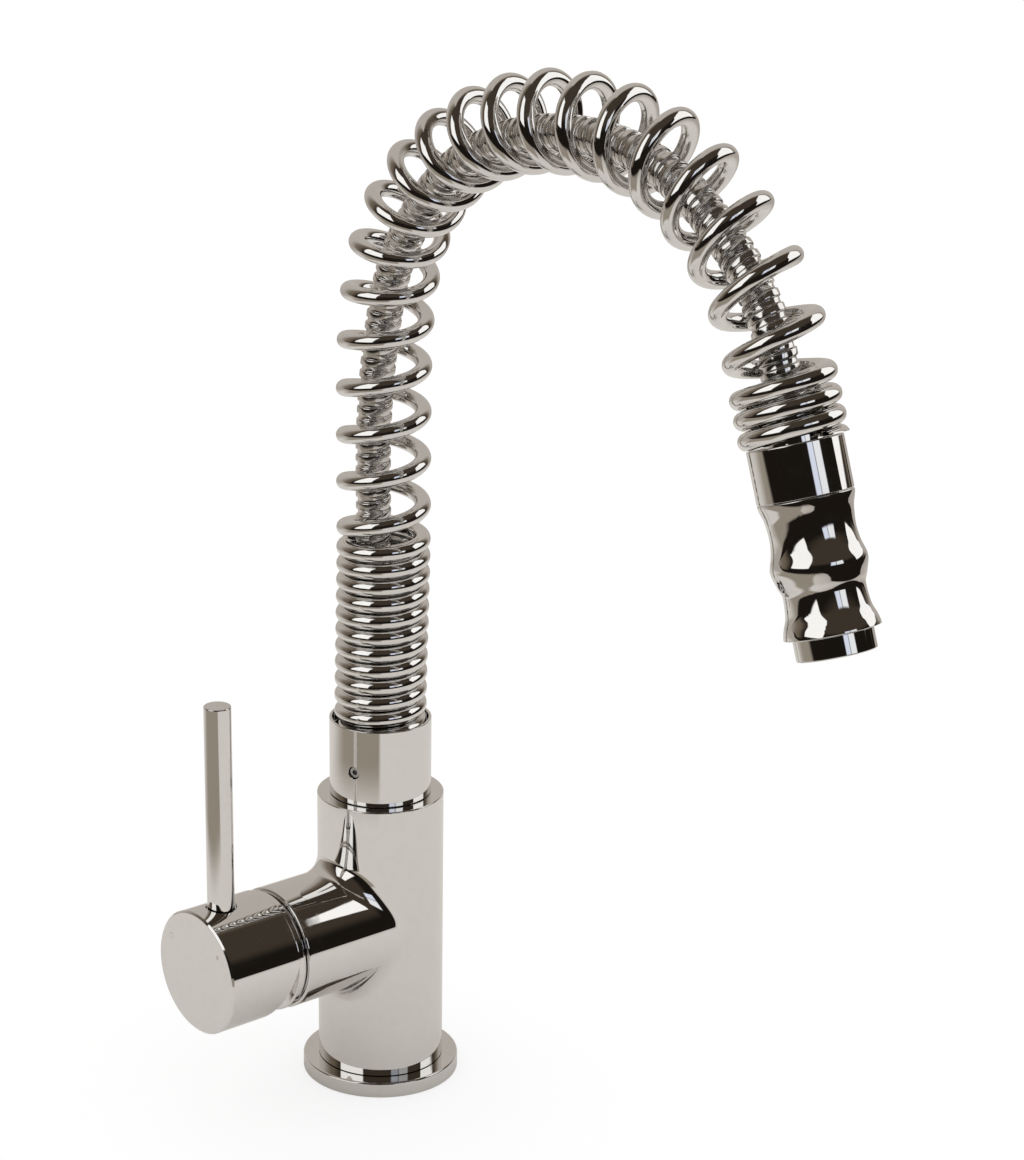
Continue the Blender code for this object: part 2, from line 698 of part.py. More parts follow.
def make_base():
    groove_low = GASKET_INNER - SEAT_GAP
    groove_high = GASKET_INNER + GASKET_WIDTH + SEAT_GAP
    groove_top = GASKET_HEIGHT + SEAT_GAP
    bore = SPIGOT_RADIUS + SEAT_GAP
    profile = [
        (bore, 0.0),
        (groove_low, 0.0),
        (groove_low, groove_top),
        (groove_high, groove_top),
        (groove_high, 0.0),
        (FLANGE_RADIUS, 0.0),
        (FLANGE_RADIUS, FLANGE_HEIGHT - FLANGE_EDGE),
        (FLANGE_RADIUS - FLANGE_EDGE, FLANGE_HEIGHT),
        (bore, FLANGE_HEIGHT),
    ]
    turned("base_flange", profile, OUTER_STEPS, chrome("base_flange"), WORLD)
    profile = [
        (GASKET_INNER, 0.0),
        (GASKET_INNER + GASKET_WIDTH, 0.0),
        (GASKET_INNER + GASKET_WIDTH, GASKET_HEIGHT),
        (GASKET_INNER, GASKET_HEIGHT),
    ]
    turned("base_gasket", profile, OUTER_STEPS, rubber("base_gasket"), WORLD)


BASE_TOP = BASE_LOW + BASE_HEIGHT
FIXED_LOW = BASE_TOP + SEAT_GAP
FIXED_TOP = FIXED_LOW + FIXED_DISC_HEIGHT
MOVING_LOW = FIXED_TOP + SEAT_GAP
MOVING_TOP = MOVING_LOW + MOVING_DISC_HEIGHT
SLIDER_LOW = MOVING_TOP + SEAT_GAP
SLIDER_TOP = SLIDER_LOW + SLIDER_HEIGHT
TURRET_FLOOR = SLIDER_TOP + SEAT_GAP
SHELL_LIP_LOW = SHELL_TOP - SHELL_LIP_HEIGHT
TIP_HEIGHT = SLIDER_LOW + TIP_RISE + TIP_RADIUS
RING_REAR = BRANCH_LENGTH + SEAT_GAP
RING_LIP_LOW = BRANCH_LENGTH + GROOVE_WIDTH
RING_FRONT = RING_LIP_LOW + RING_LIP
DOME_RADIUS = math.hypot(RING_RADIUS - DOME_INSET, RING_FRONT - PIVOT)
KNOB_REAR = RING_FRONT + SEAT_GAP
KNOB_FRONT = KNOB_REAR + KNOB_LENGTH
STEM_TOP = KNOB_FRONT - KNOB_END_WALL - SOCKET_CLEARANCE
ROD_PLACE = KNOB_FRONT - ROD_SETBACK


def port_frames():
    """Three ports on a circle: hot, cold and the mixed outlet."""
    circle = FIXED_DISC_RADIUS * PORT_CIRCLE_SHARE
    for number, turn in enumerate((30.0, 150.0, 270.0)):
        angle = math.radians(turn)
        at = shift(circle * math.sin(angle), circle * math.cos(angle), 0.0)
        share = OUTLET_PORT_RADIUS_SHARE if number == 2 else PORT_RADIUS_SHARE
        yield number, FIXED_DISC_RADIUS * share, BRANCH @ at


def make_cartridge(turn_axis, lift_axis):
    groove = SHELL_RADIUS - BASE_RING_WIDTH - SEAT_GAP
    ring_low = BASE_LOW + 0.5 * (BASE_HEIGHT - BASE_RING_HEIGHT)
    profile = [
        (0.0, BASE_LOW),
        (SHELL_RADIUS, BASE_LOW),
        (SHELL_RADIUS, ring_low - SEAT_GAP),
        (groove, ring_low - SEAT_GAP),
        (groove, ring_low + BASE_RING_HEIGHT + SEAT_GAP),
        (SHELL_RADIUS, ring_low + BASE_RING_HEIGHT + SEAT_GAP),
        (SHELL_RADIUS, BASE_TOP),
        (0.0, BASE_TOP),
    ]
    base = turned("cartridge_base", profile, INNER_STEPS, plastic("cartridge_base", 0.85), BRANCH)
    outer = CHAMBER_RADIUS - BASE_RING_CLEARANCE
    o_ring("cartridge_o_ring", groove, outer, BASE_RING_HEIGHT, ring_low, INNER_STEPS, BRANCH)
    profile = [
        (0.0, FIXED_LOW),
        (FIXED_DISC_RADIUS, FIXED_LOW),
        (FIXED_DISC_RADIUS, FIXED_TOP),
        (0.0, FIXED_TOP),
    ]
    look = ceramic("ceramic_disc_fixed")
    fixed = turned("ceramic_disc_fixed", profile, INNER_STEPS, look, BRANCH)
    for number, radius, frame in port_frames():
        name = f"port cut {number}"
        made = round_cutter(name, radius, BASE_LOW - CUT_OVERRUN, MOVING_LOW, frame, TINY_STEPS)
        boolean(base, made)
        boolean(fixed, made)

    disc_frame = BRANCH @ shift(-MOVING_DISC_SET, 0.0, 0.0)
    profile = [
        (0.0, MOVING_LOW + MIXING_DEPTH),
        (MIXING_RADIUS, MOVING_LOW + MIXING_DEPTH),
        (MIXING_RADIUS, MOVING_LOW),
        (MOVING_DISC_RADIUS, MOVING_LOW),
        (MOVING_DISC_RADIUS, MOVING_TOP),
        (0.0, MOVING_TOP),
    ]
    look = ceramic("ceramic_disc_moving")
    turned("ceramic_disc_moving", profile, INNER_STEPS, look, disc_frame, turn_axis)
    slider = rounded_box(
        "disc_slider",
        (SLIDER_LENGTH, SLIDER_WIDTH, SLIDER_HEIGHT),
        (0.0, 0.0, SLIDER_LOW + 0.5 * SLIDER_HEIGHT),
        plastic("disc_slider", 0.8),
        BRANCH,
        turn_axis,
    )
    hole = TIP_RADIUS + TIP_CLEARANCE
    hole_low = SLIDER_LOW - CUT_OVERRUN
    made = round_cutter(
        "tip cut", hole, hole_low, SLIDER_TOP + CUT_OVERRUN, BRANCH, SMALL_STEPS, turn_axis
    )
    boolean(slider, made)

    profile = [
        (SHELL_RADIUS, FIXED_LOW),
        (SHELL_RADIUS, SHELL_TOP),
        (SHELL_LIP_RADIUS, SHELL_TOP),
        (SHELL_LIP_RADIUS, SHELL_LIP_LOW),
        (SHELL_BORE, SHELL_LIP_LOW),
        (SHELL_BORE, FIXED_LOW),
    ]
    turned("cartridge_shell", profile, INNER_STEPS, plastic("cartridge_shell", 0.8), BRANCH)

    flange_top = SHELL_LIP_LOW - SEAT_GAP
    profile = [
        (0.0, SLIDER_LOW),
        (TURRET_RADIUS, SLIDER_LOW),
        (TURRET_RADIUS, flange_top),
        (TURRET_NECK_RADIUS, flange_top),
        (TURRET_NECK_RADIUS, TURRET_TOP),
        (0.0, TURRET_TOP),
    ]
    look = plastic("cartridge_turret", 0.3)
    turret = turned("cartridge_turret", profile, INNER_STEPS, look, BRANCH, turn_axis)
    channel = 2.0 * (TURRET_RADIUS + CUT_OVERRUN)
    made = rounded_box(
        "channel cut",
        (channel, SLIDER_WIDTH + 2.0 * SEAT_GAP, TURRET_FLOOR - SLIDER_LOW + CUT_OVERRUN),
        (0.0, 0.0, 0.5 * (TURRET_FLOOR + SLIDER_LOW - CUT_OVERRUN)),
        None,
        BRANCH,
        turn_axis,
    )
    boolean(turret, cutter(made))
    slot_width = 2.0 * (STEM_RADIUS + SEAT_GAP)
    made = rounded_box(
        "stem slot cut",
        (TURRET_SLOT_LENGTH, slot_width, TURRET_TOP - SLIDER_LOW + 2.0 * CUT_OVERRUN),
        (0.0, 0.0, 0.5 * (TURRET_TOP + SLIDER_LOW)),
        None,
        BRANCH,
        turn_axis,
    )
    boolean(turret, cutter(made))
    pin_frame = BRANCH @ shift(0.0, 0.0, PIVOT) @ Matrix.Rotation(math.radians(-90.0), 4, "X")
    half = TURRET_NECK_RADIUS - PIN_INSET
    profile = [(0.0, -half), (PIN_RADIUS, -half), (PIN_RADIUS, half), (0.0, half)]
    turned("stem_pin", profile, TINY_STEPS, steel("stem_pin"), pin_frame, turn_axis)
    reach = TURRET_NECK_RADIUS + CUT_OVERRUN
    radius = PIN_RADIUS + PIN_CLEARANCE
    made = round_cutter("pin cut", radius, -reach, reach, pin_frame, TINY_STEPS, turn_axis)
    boolean(turret, made)

    tip = TIP_HEIGHT
    profile = [(0.0, tip - TIP_RADIUS)]
    for i in range(1, 5):
        a = math.radians(-90.0 + 30.0 * i)
        profile.append((TIP_RADIUS * math.cos(a), tip + TIP_RADIUS * math.sin(a)))
    profile += [
        (STEM_NECK_RADIUS, tip + TIP_RADIUS),
        (STEM_NECK_RADIUS, PIVOT - STEM_SHOULDER),
        (STEM_RADIUS, PIVOT - STEM_SHOULDER + STEM_RADIUS - STEM_NECK_RADIUS),
        (STEM_RADIUS, STEM_TOP),
        (0.0, STEM_TOP),
    ]
    stem = turned("cartridge_stem", profile, SMALL_STEPS, brass("cartridge_stem"), BRANCH, lift_axis)
    reach = STEM_RADIUS + CUT_OVERRUN
    made = round_cutter("stem pin cut", radius, -reach, reach, pin_frame, TINY_STEPS, lift_axis)
    boolean(stem, made)

    outer = THREAD_RADIUS - SEAT_GAP
    skirt = SHELL_RADIUS + SEAT_GAP
    ledge = SHELL_TOP + SEAT_GAP
    nut_rear = ledge - NUT_SKIRT
    profile = [
        (outer, nut_rear),
        (outer, NUT_FRONT),
        (NUT_BORE, NUT_FRONT),
        (NUT_BORE, ledge),
        (skirt, ledge),
        (skirt, nut_rear),
    ]
    turned("cartridge_nut", profile, INNER_STEPS, brass("cartridge_nut"), BRANCH)


def make_cover_ring():
    """Trim ring with a lip, a shadow groove behind it and a dome about the lever's pivot."""
    inner_dome = DOME_RADIUS - RING_WALL
    seat = THREAD_RADIUS
    ledge = NUT_FRONT + SEAT_GAP
    outside, inside = [], []
    first = math.acos((RING_FRONT - PIVOT) / DOME_RADIUS)
    last = math.asin(DOME_MOUTH / DOME_RADIUS)
    steps = 3
    for i in range(steps + 1):
        a = first + (last - first) * i / steps
        outside.append((DOME_RADIUS * math.sin(a), PIVOT + DOME_RADIUS * math.cos(a)))
    first = math.acos((ledge - PIVOT) / inner_dome)
    last = math.asin(DOME_MOUTH / inner_dome)
    steps = 2
    for i in range(steps + 1):
        a = last + (first - last) * i / steps
        inside.append((inner_dome * math.sin(a), PIVOT + inner_dome * math.cos(a)))
    profile = [
        (seat, RING_REAR),
        (RING_RADIUS - GROOVE_DEPTH, RING_REAR),
        (RING_RADIUS - GROOVE_DEPTH, RING_LIP_LOW),
        (RING_RADIUS, RING_LIP_LOW),
        (RING_RADIUS, RING_FRONT - RING_ROUND),
        (RING_RADIUS - RING_ROUND, RING_FRONT),
    ]
    profile += outside + inside + [(seat, ledge)]
    turned("cover_ring", profile, OUTER_STEPS, chrome("cover_ring"), BRANCH)


def make_handle(lift_axis):
    cavity = KNOB_RADIUS - KNOB_WALL
    floor = KNOB_REAR + KNOB_CAVITY_DEPTH
    socket = STEM_RADIUS + SOCKET_CLEARANCE
    profile = [
        (0.0, STEM_TOP + SOCKET_CLEARANCE),
        (socket, STEM_TOP + SOCKET_CLEARANCE),
        (socket, floor),
        (cavity, floor),
        (cavity, KNOB_REAR),
        (KNOB_RADIUS, KNOB_REAR),
        (KNOB_RADIUS, KNOB_FRONT - KNOB_BEVEL),
        (KNOB_RADIUS - 0.3 * KNOB_BEVEL, KNOB_FRONT - 0.3 * KNOB_BEVEL),
        (KNOB_RADIUS - KNOB_BEVEL, KNOB_FRONT),
        (0.0, KNOB_FRONT),
    ]
    look = chrome("handle_knob")
    knob = turned("handle_knob", profile, OUTER_STEPS, look, BRANCH, lift_axis)
    # The rear rim is cut back along the line that the fully raised lever brings up to the ring.
    start = PIVOT + (KNOB_REAR - PIVOT + SEAT_GAP) / math.cos(LIFT_MAX)
    size = 4.0 * KNOB_RADIUS
    frame = BRANCH @ shift(0.0, 0.0, start) @ Matrix.Rotation(LIFT_MAX, 4, "Y")
    made = rounded_box(
        "rim cut", (size, size, size), (0.0, 0.0, -0.5 * size), None, frame, lift_axis
    )
    boolean(knob, cutter(made))
    rod_frame = BRANCH @ shift(0.0, 0.0, ROD_PLACE) @ Matrix.Rotation(math.radians(90.0), 4, "Y")
    seat_floor = KNOB_RADIUS - ROD_SINK - SEAT_GAP
    seat = ROD_RADIUS + ROD_SEAT_CLEARANCE
    thread = ROD_STUD_RADIUS + SEAT_GAP
    profile = [
        (0.0, KNOB_RADIUS + CUT_OVERRUN),
        (seat, KNOB_RADIUS + CUT_OVERRUN),
        (seat, seat_floor),
        (thread, seat_floor),
        (thread, 0.0),
        (0.0, 0.0),
    ]
    boolean(knob, cutter(turned("rod seat cut", profile, INNER_STEPS, None, rod_frame, lift_axis)))
    low = KNOB_RADIUS - ROD_SINK
    profile = [
        (0.0, low - ROD_STUD_LENGTH),
        (ROD_STUD_RADIUS, low - ROD_STUD_LENGTH),
        (ROD_STUD_RADIUS, low),
        (ROD_RADIUS - ROD_END_ROUND, low),
        (ROD_RADIUS - 0.3 * ROD_END_ROUND, low + 0.3 * ROD_END_ROUND),
        (ROD_RADIUS, low + ROD_END_ROUND),
        (ROD_RADIUS, ROD_TOP - ROD_TOP_EDGE),
        (ROD_RADIUS - ROD_TOP_EDGE, ROD_TOP),
        (0.0, ROD_TOP),
    ]
    turned("lever_rod", profile, INNER_STEPS, chrome("lever_rod"), rod_frame, lift_axis)
    high = low - ROD_STUD_LENGTH - SEAT_GAP
    screw_low = STEM_RADIUS + SEAT_GAP
    profile = [
        (0.0, screw_low),
        (HANDLE_SCREW_RADIUS, screw_low),
        (HANDLE_SCREW_RADIUS, high),
        (0.0, high),
    ]
    look = steel("handle_grub_screw")
    screw = turned("handle_grub_screw", profile, SMALL_STEPS, look, rod_frame, lift_axis)
    hex_radius = HANDLE_SCREW_RADIUS * HEX_SHARE
    hex_low = high - (high - screw_low) * HEX_DEPTH_SHARE
    made = round_cutter(
        "handle hex cut",
        hex_radius,
        hex_low,
        high + CUT_OVERRUN,
        rod_frame,
        6,
        lift_axis,
    )
    boolean(screw, made)


def make_outlet():
    shoulder_low = BODY_TOP + SEAT_GAP
    shoulder_top = shoulder_low + SHOULDER_HEIGHT
    thread_low = BODY_TOP - OUTLET_THREAD_LENGTH
    floor = OUTLET_RADIUS - O_RING_DEPTH
    screw_floor = OUTLET_RADIUS - SCREW_GROOVE_DEPTH
    half_ring = 0.5 * O_RING_HEIGHT
    half_groove = 0.5 * SCREW_GROOVE_WIDTH
    plug_low = SPRING_SEAT + SEAT_GAP - PLUG_LENGTH - SEAT_GAP
    profile = [
        (WATER_BORE, thread_low),
        (OUTLET_THREAD_RADIUS, thread_low),
        (OUTLET_THREAD_RADIUS, shoulder_low),
        (SHOULDER_RADIUS, shoulder_low),
        (SHOULDER_RADIUS, shoulder_top),
        (OUTLET_RADIUS, shoulder_top),
    ]
    for centre, half, bottom in (
        (LOWER_O_RING, half_ring, floor),
        (SCREW_HEIGHT, half_groove, screw_floor),
        (UPPER_O_RING, half_ring, floor),
    ):
        profile += [
            (OUTLET_RADIUS, centre - half),
            (bottom, centre - half),
            (bottom, centre + half),
            (OUTLET_RADIUS, centre + half),
        ]
    profile += [
        (OUTLET_RADIUS, OUTLET_TOP),
        (OUTLET_BORE, OUTLET_TOP),
        (OUTLET_BORE, plug_low),
        (WATER_BORE, plug_low),
    ]
    turned("outlet_spigot", profile, INNER_STEPS, brass("outlet_spigot"), WORLD)
    height = O_RING_HEIGHT - 2.0 * SEAT_GAP
    for name, centre in (
        ("swivel_o_ring_lower", LOWER_O_RING),
        ("swivel_o_ring_upper", UPPER_O_RING),
    ):
        low = centre - 0.5 * height
        o_ring(name, floor, OUTLET_RADIUS + O_RING_PROUD, height, low, INNER_STEPS, WORLD)
    profile = [
        (WASHER_INNER, shoulder_low),
        (WASHER_OUTER, shoulder_low),
        (WASHER_OUTER, shoulder_low + WASHER_HEIGHT),
        (WASHER_INNER, shoulder_low + WASHER_HEIGHT),
    ]
    turned("slip_washer", profile, INNER_STEPS, plastic("slip_washer", 0.9), WORLD)


def make_collar(axis):
    low = BODY_TOP + SEAT_GAP
    bore = OUTLET_RADIUS + SWIVEL_CLEARANCE
    recess = low + WASHER_HEIGHT + SEAT_GAP
    shoulder = low + SHOULDER_HEIGHT + SEAT_GAP
    cup = COLLAR_RADIUS - COLLAR_WALL
    profile = [
        (WASHER_OUTER + SEAT_GAP, low),
        (COLLAR_RADIUS, low),
        (COLLAR_RADIUS, COLLAR_TOP - COLLAR_EDGE),
        (COLLAR_RADIUS - COLLAR_EDGE, COLLAR_TOP),
        (cup, COLLAR_TOP),
        (cup, SPRING_SEAT),
        (PLUG_RADIUS + SEAT_GAP, SPRING_SEAT),
        (PLUG_RADIUS + SEAT_GAP, SPRING_SEAT - COLLAR_FLOOR),
        (bore, SPRING_SEAT - COLLAR_FLOOR),
        (bore, shoulder),
        (SHOULDER_RADIUS + SEAT_GAP, shoulder),
        (SHOULDER_RADIUS + SEAT_GAP, recess),
        (WASHER_OUTER + SEAT_GAP, recess),
    ]
    look = chrome("spring_collar")
    collar = turned("spring_collar", profile, OUTER_STEPS, look, WORLD, axis)
    frame = radial_frame(SCREW_AZIMUTH, SCREW_HEIGHT)
    hole = SCREW_RADIUS + SEAT_GAP
    outside = COLLAR_RADIUS + CUT_OVERRUN
    made = round_cutter("collar screw cut", hole, OUTLET_RADIUS, outside, frame, axis=axis)
    boolean(collar, made)
    tip = OUTLET_RADIUS - SCREW_GROOVE_DEPTH + 2.0 * SEAT_GAP
    point = tip + SCREW_POINT_LENGTH
    head = COLLAR_RADIUS - SCREW_INSET
    profile = [
        (0.0, tip),
        (SCREW_POINT_RADIUS, tip),
        (SCREW_POINT_RADIUS, point),
        (SCREW_RADIUS, point + SCREW_RADIUS - SCREW_POINT_RADIUS),
        (SCREW_RADIUS, head),
        (0.0, head),
    ]
    look = steel("collar_grub_screw")
    screw = turned("collar_grub_screw", profile, SMALL_STEPS, look, frame, axis)
    hex_radius = SCREW_RADIUS * HEX_SHARE
    depth = (head - tip) * HEX_DEPTH_SHARE
    made = round_cutter(
        "collar hex cut", hex_radius, head - depth, head + CUT_OVERRUN, frame, 6, axis
    )
    boolean(screw, made)

    flange_low = SPRING_SEAT + SEAT_GAP
    flange_top = flange_low + FITTING_FLANGE_HEIGHT
    flange = SLEEVE_RADIUS + FITTING_FLANGE_REACH
    profile = [
        (HOSE_BORE, flange_low - PLUG_LENGTH),
        (PLUG_RADIUS, flange_low - PLUG_LENGTH),
        (PLUG_RADIUS, flange_low),
        (flange, flange_low),
        (flange, flange_top),
        (SLEEVE_RADIUS, flange_top),
        (SLEEVE_RADIUS, flange_top + SLEEVE_LENGTH),
        (SLEEVE_INNER, flange_top + SLEEVE_LENGTH),
        (SLEEVE_INNER, flange_top),
        (HOSE_BORE, flange_top),
    ]
    name = "hose_lower_fitting"
    turned(name, profile, INNER_STEPS, brass(name), WORLD, axis)
    return flange_top + SEAT_GAP


def make_spring(spray, axis):
    """One unbroken wire: close turns in the collar, open turns over the arch, close end turns.

    Its last turn is ground flat where it rests on the spray's ferrule.
    """
    first = SEAT_GAP + WIRE_RADIUS
    last = ROUTE_LENGTH + GROUND_RUN
    dense = np.linspace(first, last, 6001)
    low, high = CLOSE_LOWER, ROUTE_LENGTH - CLOSE_UPPER
    rise = np.clip((dense - low) / LOWER_CHANGE, 0.0, 1.0)
    fall = np.clip((high - dense) / UPPER_CHANGE, 0.0, 1.0)
    ease = rise * rise * (3.0 - 2.0 * rise) * fall * fall * (3.0 - 2.0 * fall)
    # The side that hangs down to the spray is stretched a little by its weight.
    hang = ROUTE_LENGTH * HANG_START_SHARE
    hanging = np.sin(math.pi * np.clip((dense - hang) / (high - hang), 0.0, 1.0))
    open_pitch = OPEN_PITCH + HANG_STRETCH * hanging
    pitch = CLOSE_PITCH + (open_pitch - CLOSE_PITCH) * ease
    density = 1.0 / pitch
    turns = np.concatenate([[0.0], np.cumsum(0.5 * (density[1:] + density[:-1]) * np.diff(dense))])
    total = turns[-1]
    count = int(round(total * CURL_POINTS)) + 1
    wanted = np.linspace(0.0, total, count)
    places = np.interp(wanted, turns, dense)
    angle = START_ANGLE + 2.0 * math.pi * wanted
    points = on_route(places, COIL_RADIUS * np.cos(angle), COIL_RADIUS * np.sin(angle))
    look = chrome("spring")
    spring = tube("spring", points, np.ones(count), WIRE_RADIUS, 1, look, axis)
    width = 2.0 * (COIL_RADIUS + WIRE_RADIUS + CUT_OVERRUN)
    depth = GROUND_RUN + WIRE_RADIUS + SEAT_GAP + CUT_OVERRUN
    size = (width, width, depth)
    centre = (0.0, 0.0, SEAT_GAP - 0.5 * depth)
    made = rounded_box("spring ground end cut", size, centre, None, spray, axis)
    boolean(spring, cutter(made))
    gap = least_gap(points, WIRE_RADIUS, CURL_POINTS)
    print(f"spring: {total:.2f} turns, {count} points, least gap to itself {gap / MM:.3f} mm")
    return points


def make_hose(start, axis):
    """Ribbed metal hose with its bore, from the lower fitting to the spray's fitting."""
    first = start - SPRING_SEAT
    last = ROUTE_LENGTH + HOSE_END
    ribs = int(round((last - first) / HOSE_RIB_PITCH))
    count = 2 * ribs + 1
    places = np.linspace(first, last, count)

    def line(at):
        inward = HOSE_ROOM * smooth_curve(HOSE_SWAY_SHARES, 1, at / ROUTE_LENGTH)
        aside = HOSE_ROOM * smooth_curve(HOSE_SWAY_SHARES, 2, at / ROUTE_LENGTH)
        return on_route(at, inward, aside)

    valley_share = (HOSE_RADIUS - HOSE_RIB_DEPTH) / HOSE_RADIUS
    radii = np.where(np.arange(count) % 2 == 1, 1.0, valley_share)
    points = line(places)
    hose = tube("hose", points, radii, HOSE_RADIUS, 2, steel("hose"), axis)
    bore_count = int(round((last - first) / HOSE_BORE_SPACING)) + 1
    inside = line(np.linspace(first, last, bore_count))
    run = CUT_OVERRUN
    ends = [
        inside[0] + (inside[0] - inside[1]) / np.linalg.norm(inside[0] - inside[1]) * run,
        inside[-1] + (inside[-1] - inside[-2]) / np.linalg.norm(inside[-1] - inside[-2]) * run,
    ]
    inside = np.concatenate([[ends[0]], inside, [ends[1]]])
    made = tube("hose bore cut", inside, np.ones(len(inside)), HOSE_BORE, 1, None, axis)
    boolean(hose, cutter(made))
    print(f"hose: {ribs} ribs, {(last - first) / MM:.1f} mm long")
    return points


def grip_radius(depth):
    share = smooth_curve(GRIP_SHARES, 1, np.array([depth / GRIP_LENGTH]))[0]
    return GRIP_RADIUS * float(share)


def make_spray(spray, flex_axis, spray_axis):
    """The hand spray: ferrule and hose fitting, then the grip, tube and nozzle that turn on them."""
    neck = FERRULE_NECK_RADIUS
    throat = SLEEVE_RADIUS + SEAT_GAP
    profile = [
        (throat, FERRULE_NECK_LENGTH),
        (neck, FERRULE_NECK_LENGTH),
        (neck, 0.0),
        (FERRULE_RADIUS - FERRULE_EDGE, 0.0),
        (FERRULE_RADIUS, -FERRULE_EDGE),
        (FERRULE_RADIUS, -FERRULE_LENGTH),
        (FERRULE_BORE, -FERRULE_LENGTH),
        (FERRULE_BORE, -FERRULE_STEP),
        (throat, -FERRULE_STEP),
    ]
    look = chrome("spray_ferrule")
    turned("spray_ferrule", profile, SPRAY_STEPS, look, spray, flex_axis)

    flange_top = -FERRULE_STEP - SEAT_GAP
    flange_low = flange_top - END_FLANGE_HEIGHT
    hose_seat = -HOSE_END - SEAT_GAP
    profile = [
        (SLEEVE_INNER, hose_seat + SLEEVE_LENGTH),
        (SLEEVE_RADIUS, hose_seat + SLEEVE_LENGTH),
        (SLEEVE_RADIUS, flange_top),
        (END_FLANGE_RADIUS, flange_top),
        (END_FLANGE_RADIUS, flange_low),
        (HOSE_BORE, flange_low),
        (HOSE_BORE, hose_seat),
        (SLEEVE_INNER, hose_seat),
    ]
    name = "hose_upper_fitting"
    turned(name, profile, INNER_STEPS, brass(name), spray, flex_axis)
    washer_top = flange_low - SEAT_GAP
    washer_low = washer_top - WASHER_THICKNESS
    profile = [
        (HOSE_BORE, washer_top),
        (CONNECTOR_RADIUS, washer_top),
        (CONNECTOR_RADIUS, washer_low),
        (HOSE_BORE, washer_low),
    ]
    turned("hose_washer", profile, INNER_STEPS, rubber("hose_washer"), spray, flex_axis)

    top = -FERRULE_LENGTH - SEAT_GAP
    low = top - GRIP_LENGTH
    profile = [(GRIP_TOP_BORE, top), (grip_radius(0.0) - GRIP_EDGE, top)]
    for i in range(GRIP_STATIONS + 1):
        depth = GRIP_EDGE + (GRIP_LENGTH - 2.0 * GRIP_EDGE) * i / GRIP_STATIONS
        profile.append((grip_radius(depth), top - depth))
    profile += [
        (grip_radius(GRIP_LENGTH) - GRIP_EDGE, low),
        (GRIP_BORE, low),
        (GRIP_BORE, top - GRIP_TOP_WALL),
        (GRIP_TOP_BORE, top - GRIP_TOP_WALL),
    ]
    look = chrome("spray_grip")
    grip = turned("spray_grip", profile, SPRAY_STEPS, look, spray, spray_axis)
    connector_top = washer_low - SEAT_GAP
    connector_low = connector_top - CONNECTOR_LENGTH
    nozzle_top = low - SEAT_GAP
    spigot_top = nozzle_top + NOZZLE_SPIGOT_LENGTH
    spigot = GRIP_BORE - SEAT_GAP
    nozzle_low = nozzle_top - NOZZLE_LENGTH
    aerator_low = nozzle_low + NOZZLE_LIP + SEAT_GAP
    aerator_top = aerator_low + AERATOR_HEIGHT
    tube_low = aerator_top + SEAT_GAP
    profile = [
        (HOSE_BORE, connector_top),
        (CONNECTOR_RADIUS, connector_top),
        (CONNECTOR_RADIUS, connector_low),
        (INNER_TUBE_RADIUS, connector_low),
        (INNER_TUBE_RADIUS, tube_low),
        (HOSE_BORE, tube_low),
    ]
    name = "spray_inner_tube"
    turned(name, profile, INNER_STEPS, plastic(name, 0.75), spray, spray_axis)

    groove = spigot - O_RING_DEPTH + SEAT_GAP
    bore = groove - NOZZLE_WALL
    mouth = bore - NOZZLE_LIP_WIDTH
    ring_middle = nozzle_top + 0.5 * NOZZLE_SPIGOT_LENGTH
    half = 0.5 * O_RING_HEIGHT
    profile = [
        (bore, spigot_top),
        (spigot, spigot_top),
        (spigot, ring_middle + half),
        (groove, ring_middle + half),
        (groove, ring_middle - half),
        (spigot, ring_middle - half),
        (spigot, nozzle_top),
        (NOZZLE_RADIUS, nozzle_top),
        (NOZZLE_RADIUS, nozzle_low + NOZZLE_EDGE),
        (NOZZLE_RADIUS - NOZZLE_EDGE, nozzle_low),
        (mouth, nozzle_low),
        (mouth, nozzle_low + NOZZLE_LIP),
        (bore, nozzle_low + NOZZLE_LIP),
    ]
    turned("nozzle_ring", profile, SPRAY_STEPS, chrome("nozzle_ring"), spray, spray_axis)
    height = O_RING_HEIGHT - 2.0 * SEAT_GAP
    outer = GRIP_BORE - 0.5 * SEAT_GAP
    ring_low = ring_middle - 0.5 * height
    o_ring("nozzle_o_ring", groove, outer, height, ring_low, INNER_STEPS, spray, spray_axis)

    outer = bore - SEAT_GAP
    profile = [
        (0.0, aerator_low),
        (outer, aerator_low),
        (outer, aerator_top),
        (outer - AERATOR_WALL, aerator_top),
        (outer - AERATOR_WALL, aerator_low + AERATOR_FLOOR),
        (0.0, aerator_low + AERATOR_FLOOR),
    ]
    look = plastic("aerator_insert", 0.5)
    aerator = turned("aerator_insert", profile, INNER_STEPS, look, spray, spray_axis)
    for i in range(AERATOR_HOLES):
        a = 2.0 * math.pi * i / AERATOR_HOLES
        circle = outer * AERATOR_CIRCLE_SHARE
        at = shift(circle * math.cos(a), circle * math.sin(a), 0.0)
        made = round_cutter(
            f"aerator cut {i}",
            AERATOR_HOLE,
            aerator_low - CUT_OVERRUN,
            aerator_low + AERATOR_FLOOR + SEAT_GAP,
            spray @ at,
            6,
            spray_axis,
        )
        boolean(aerator, made)

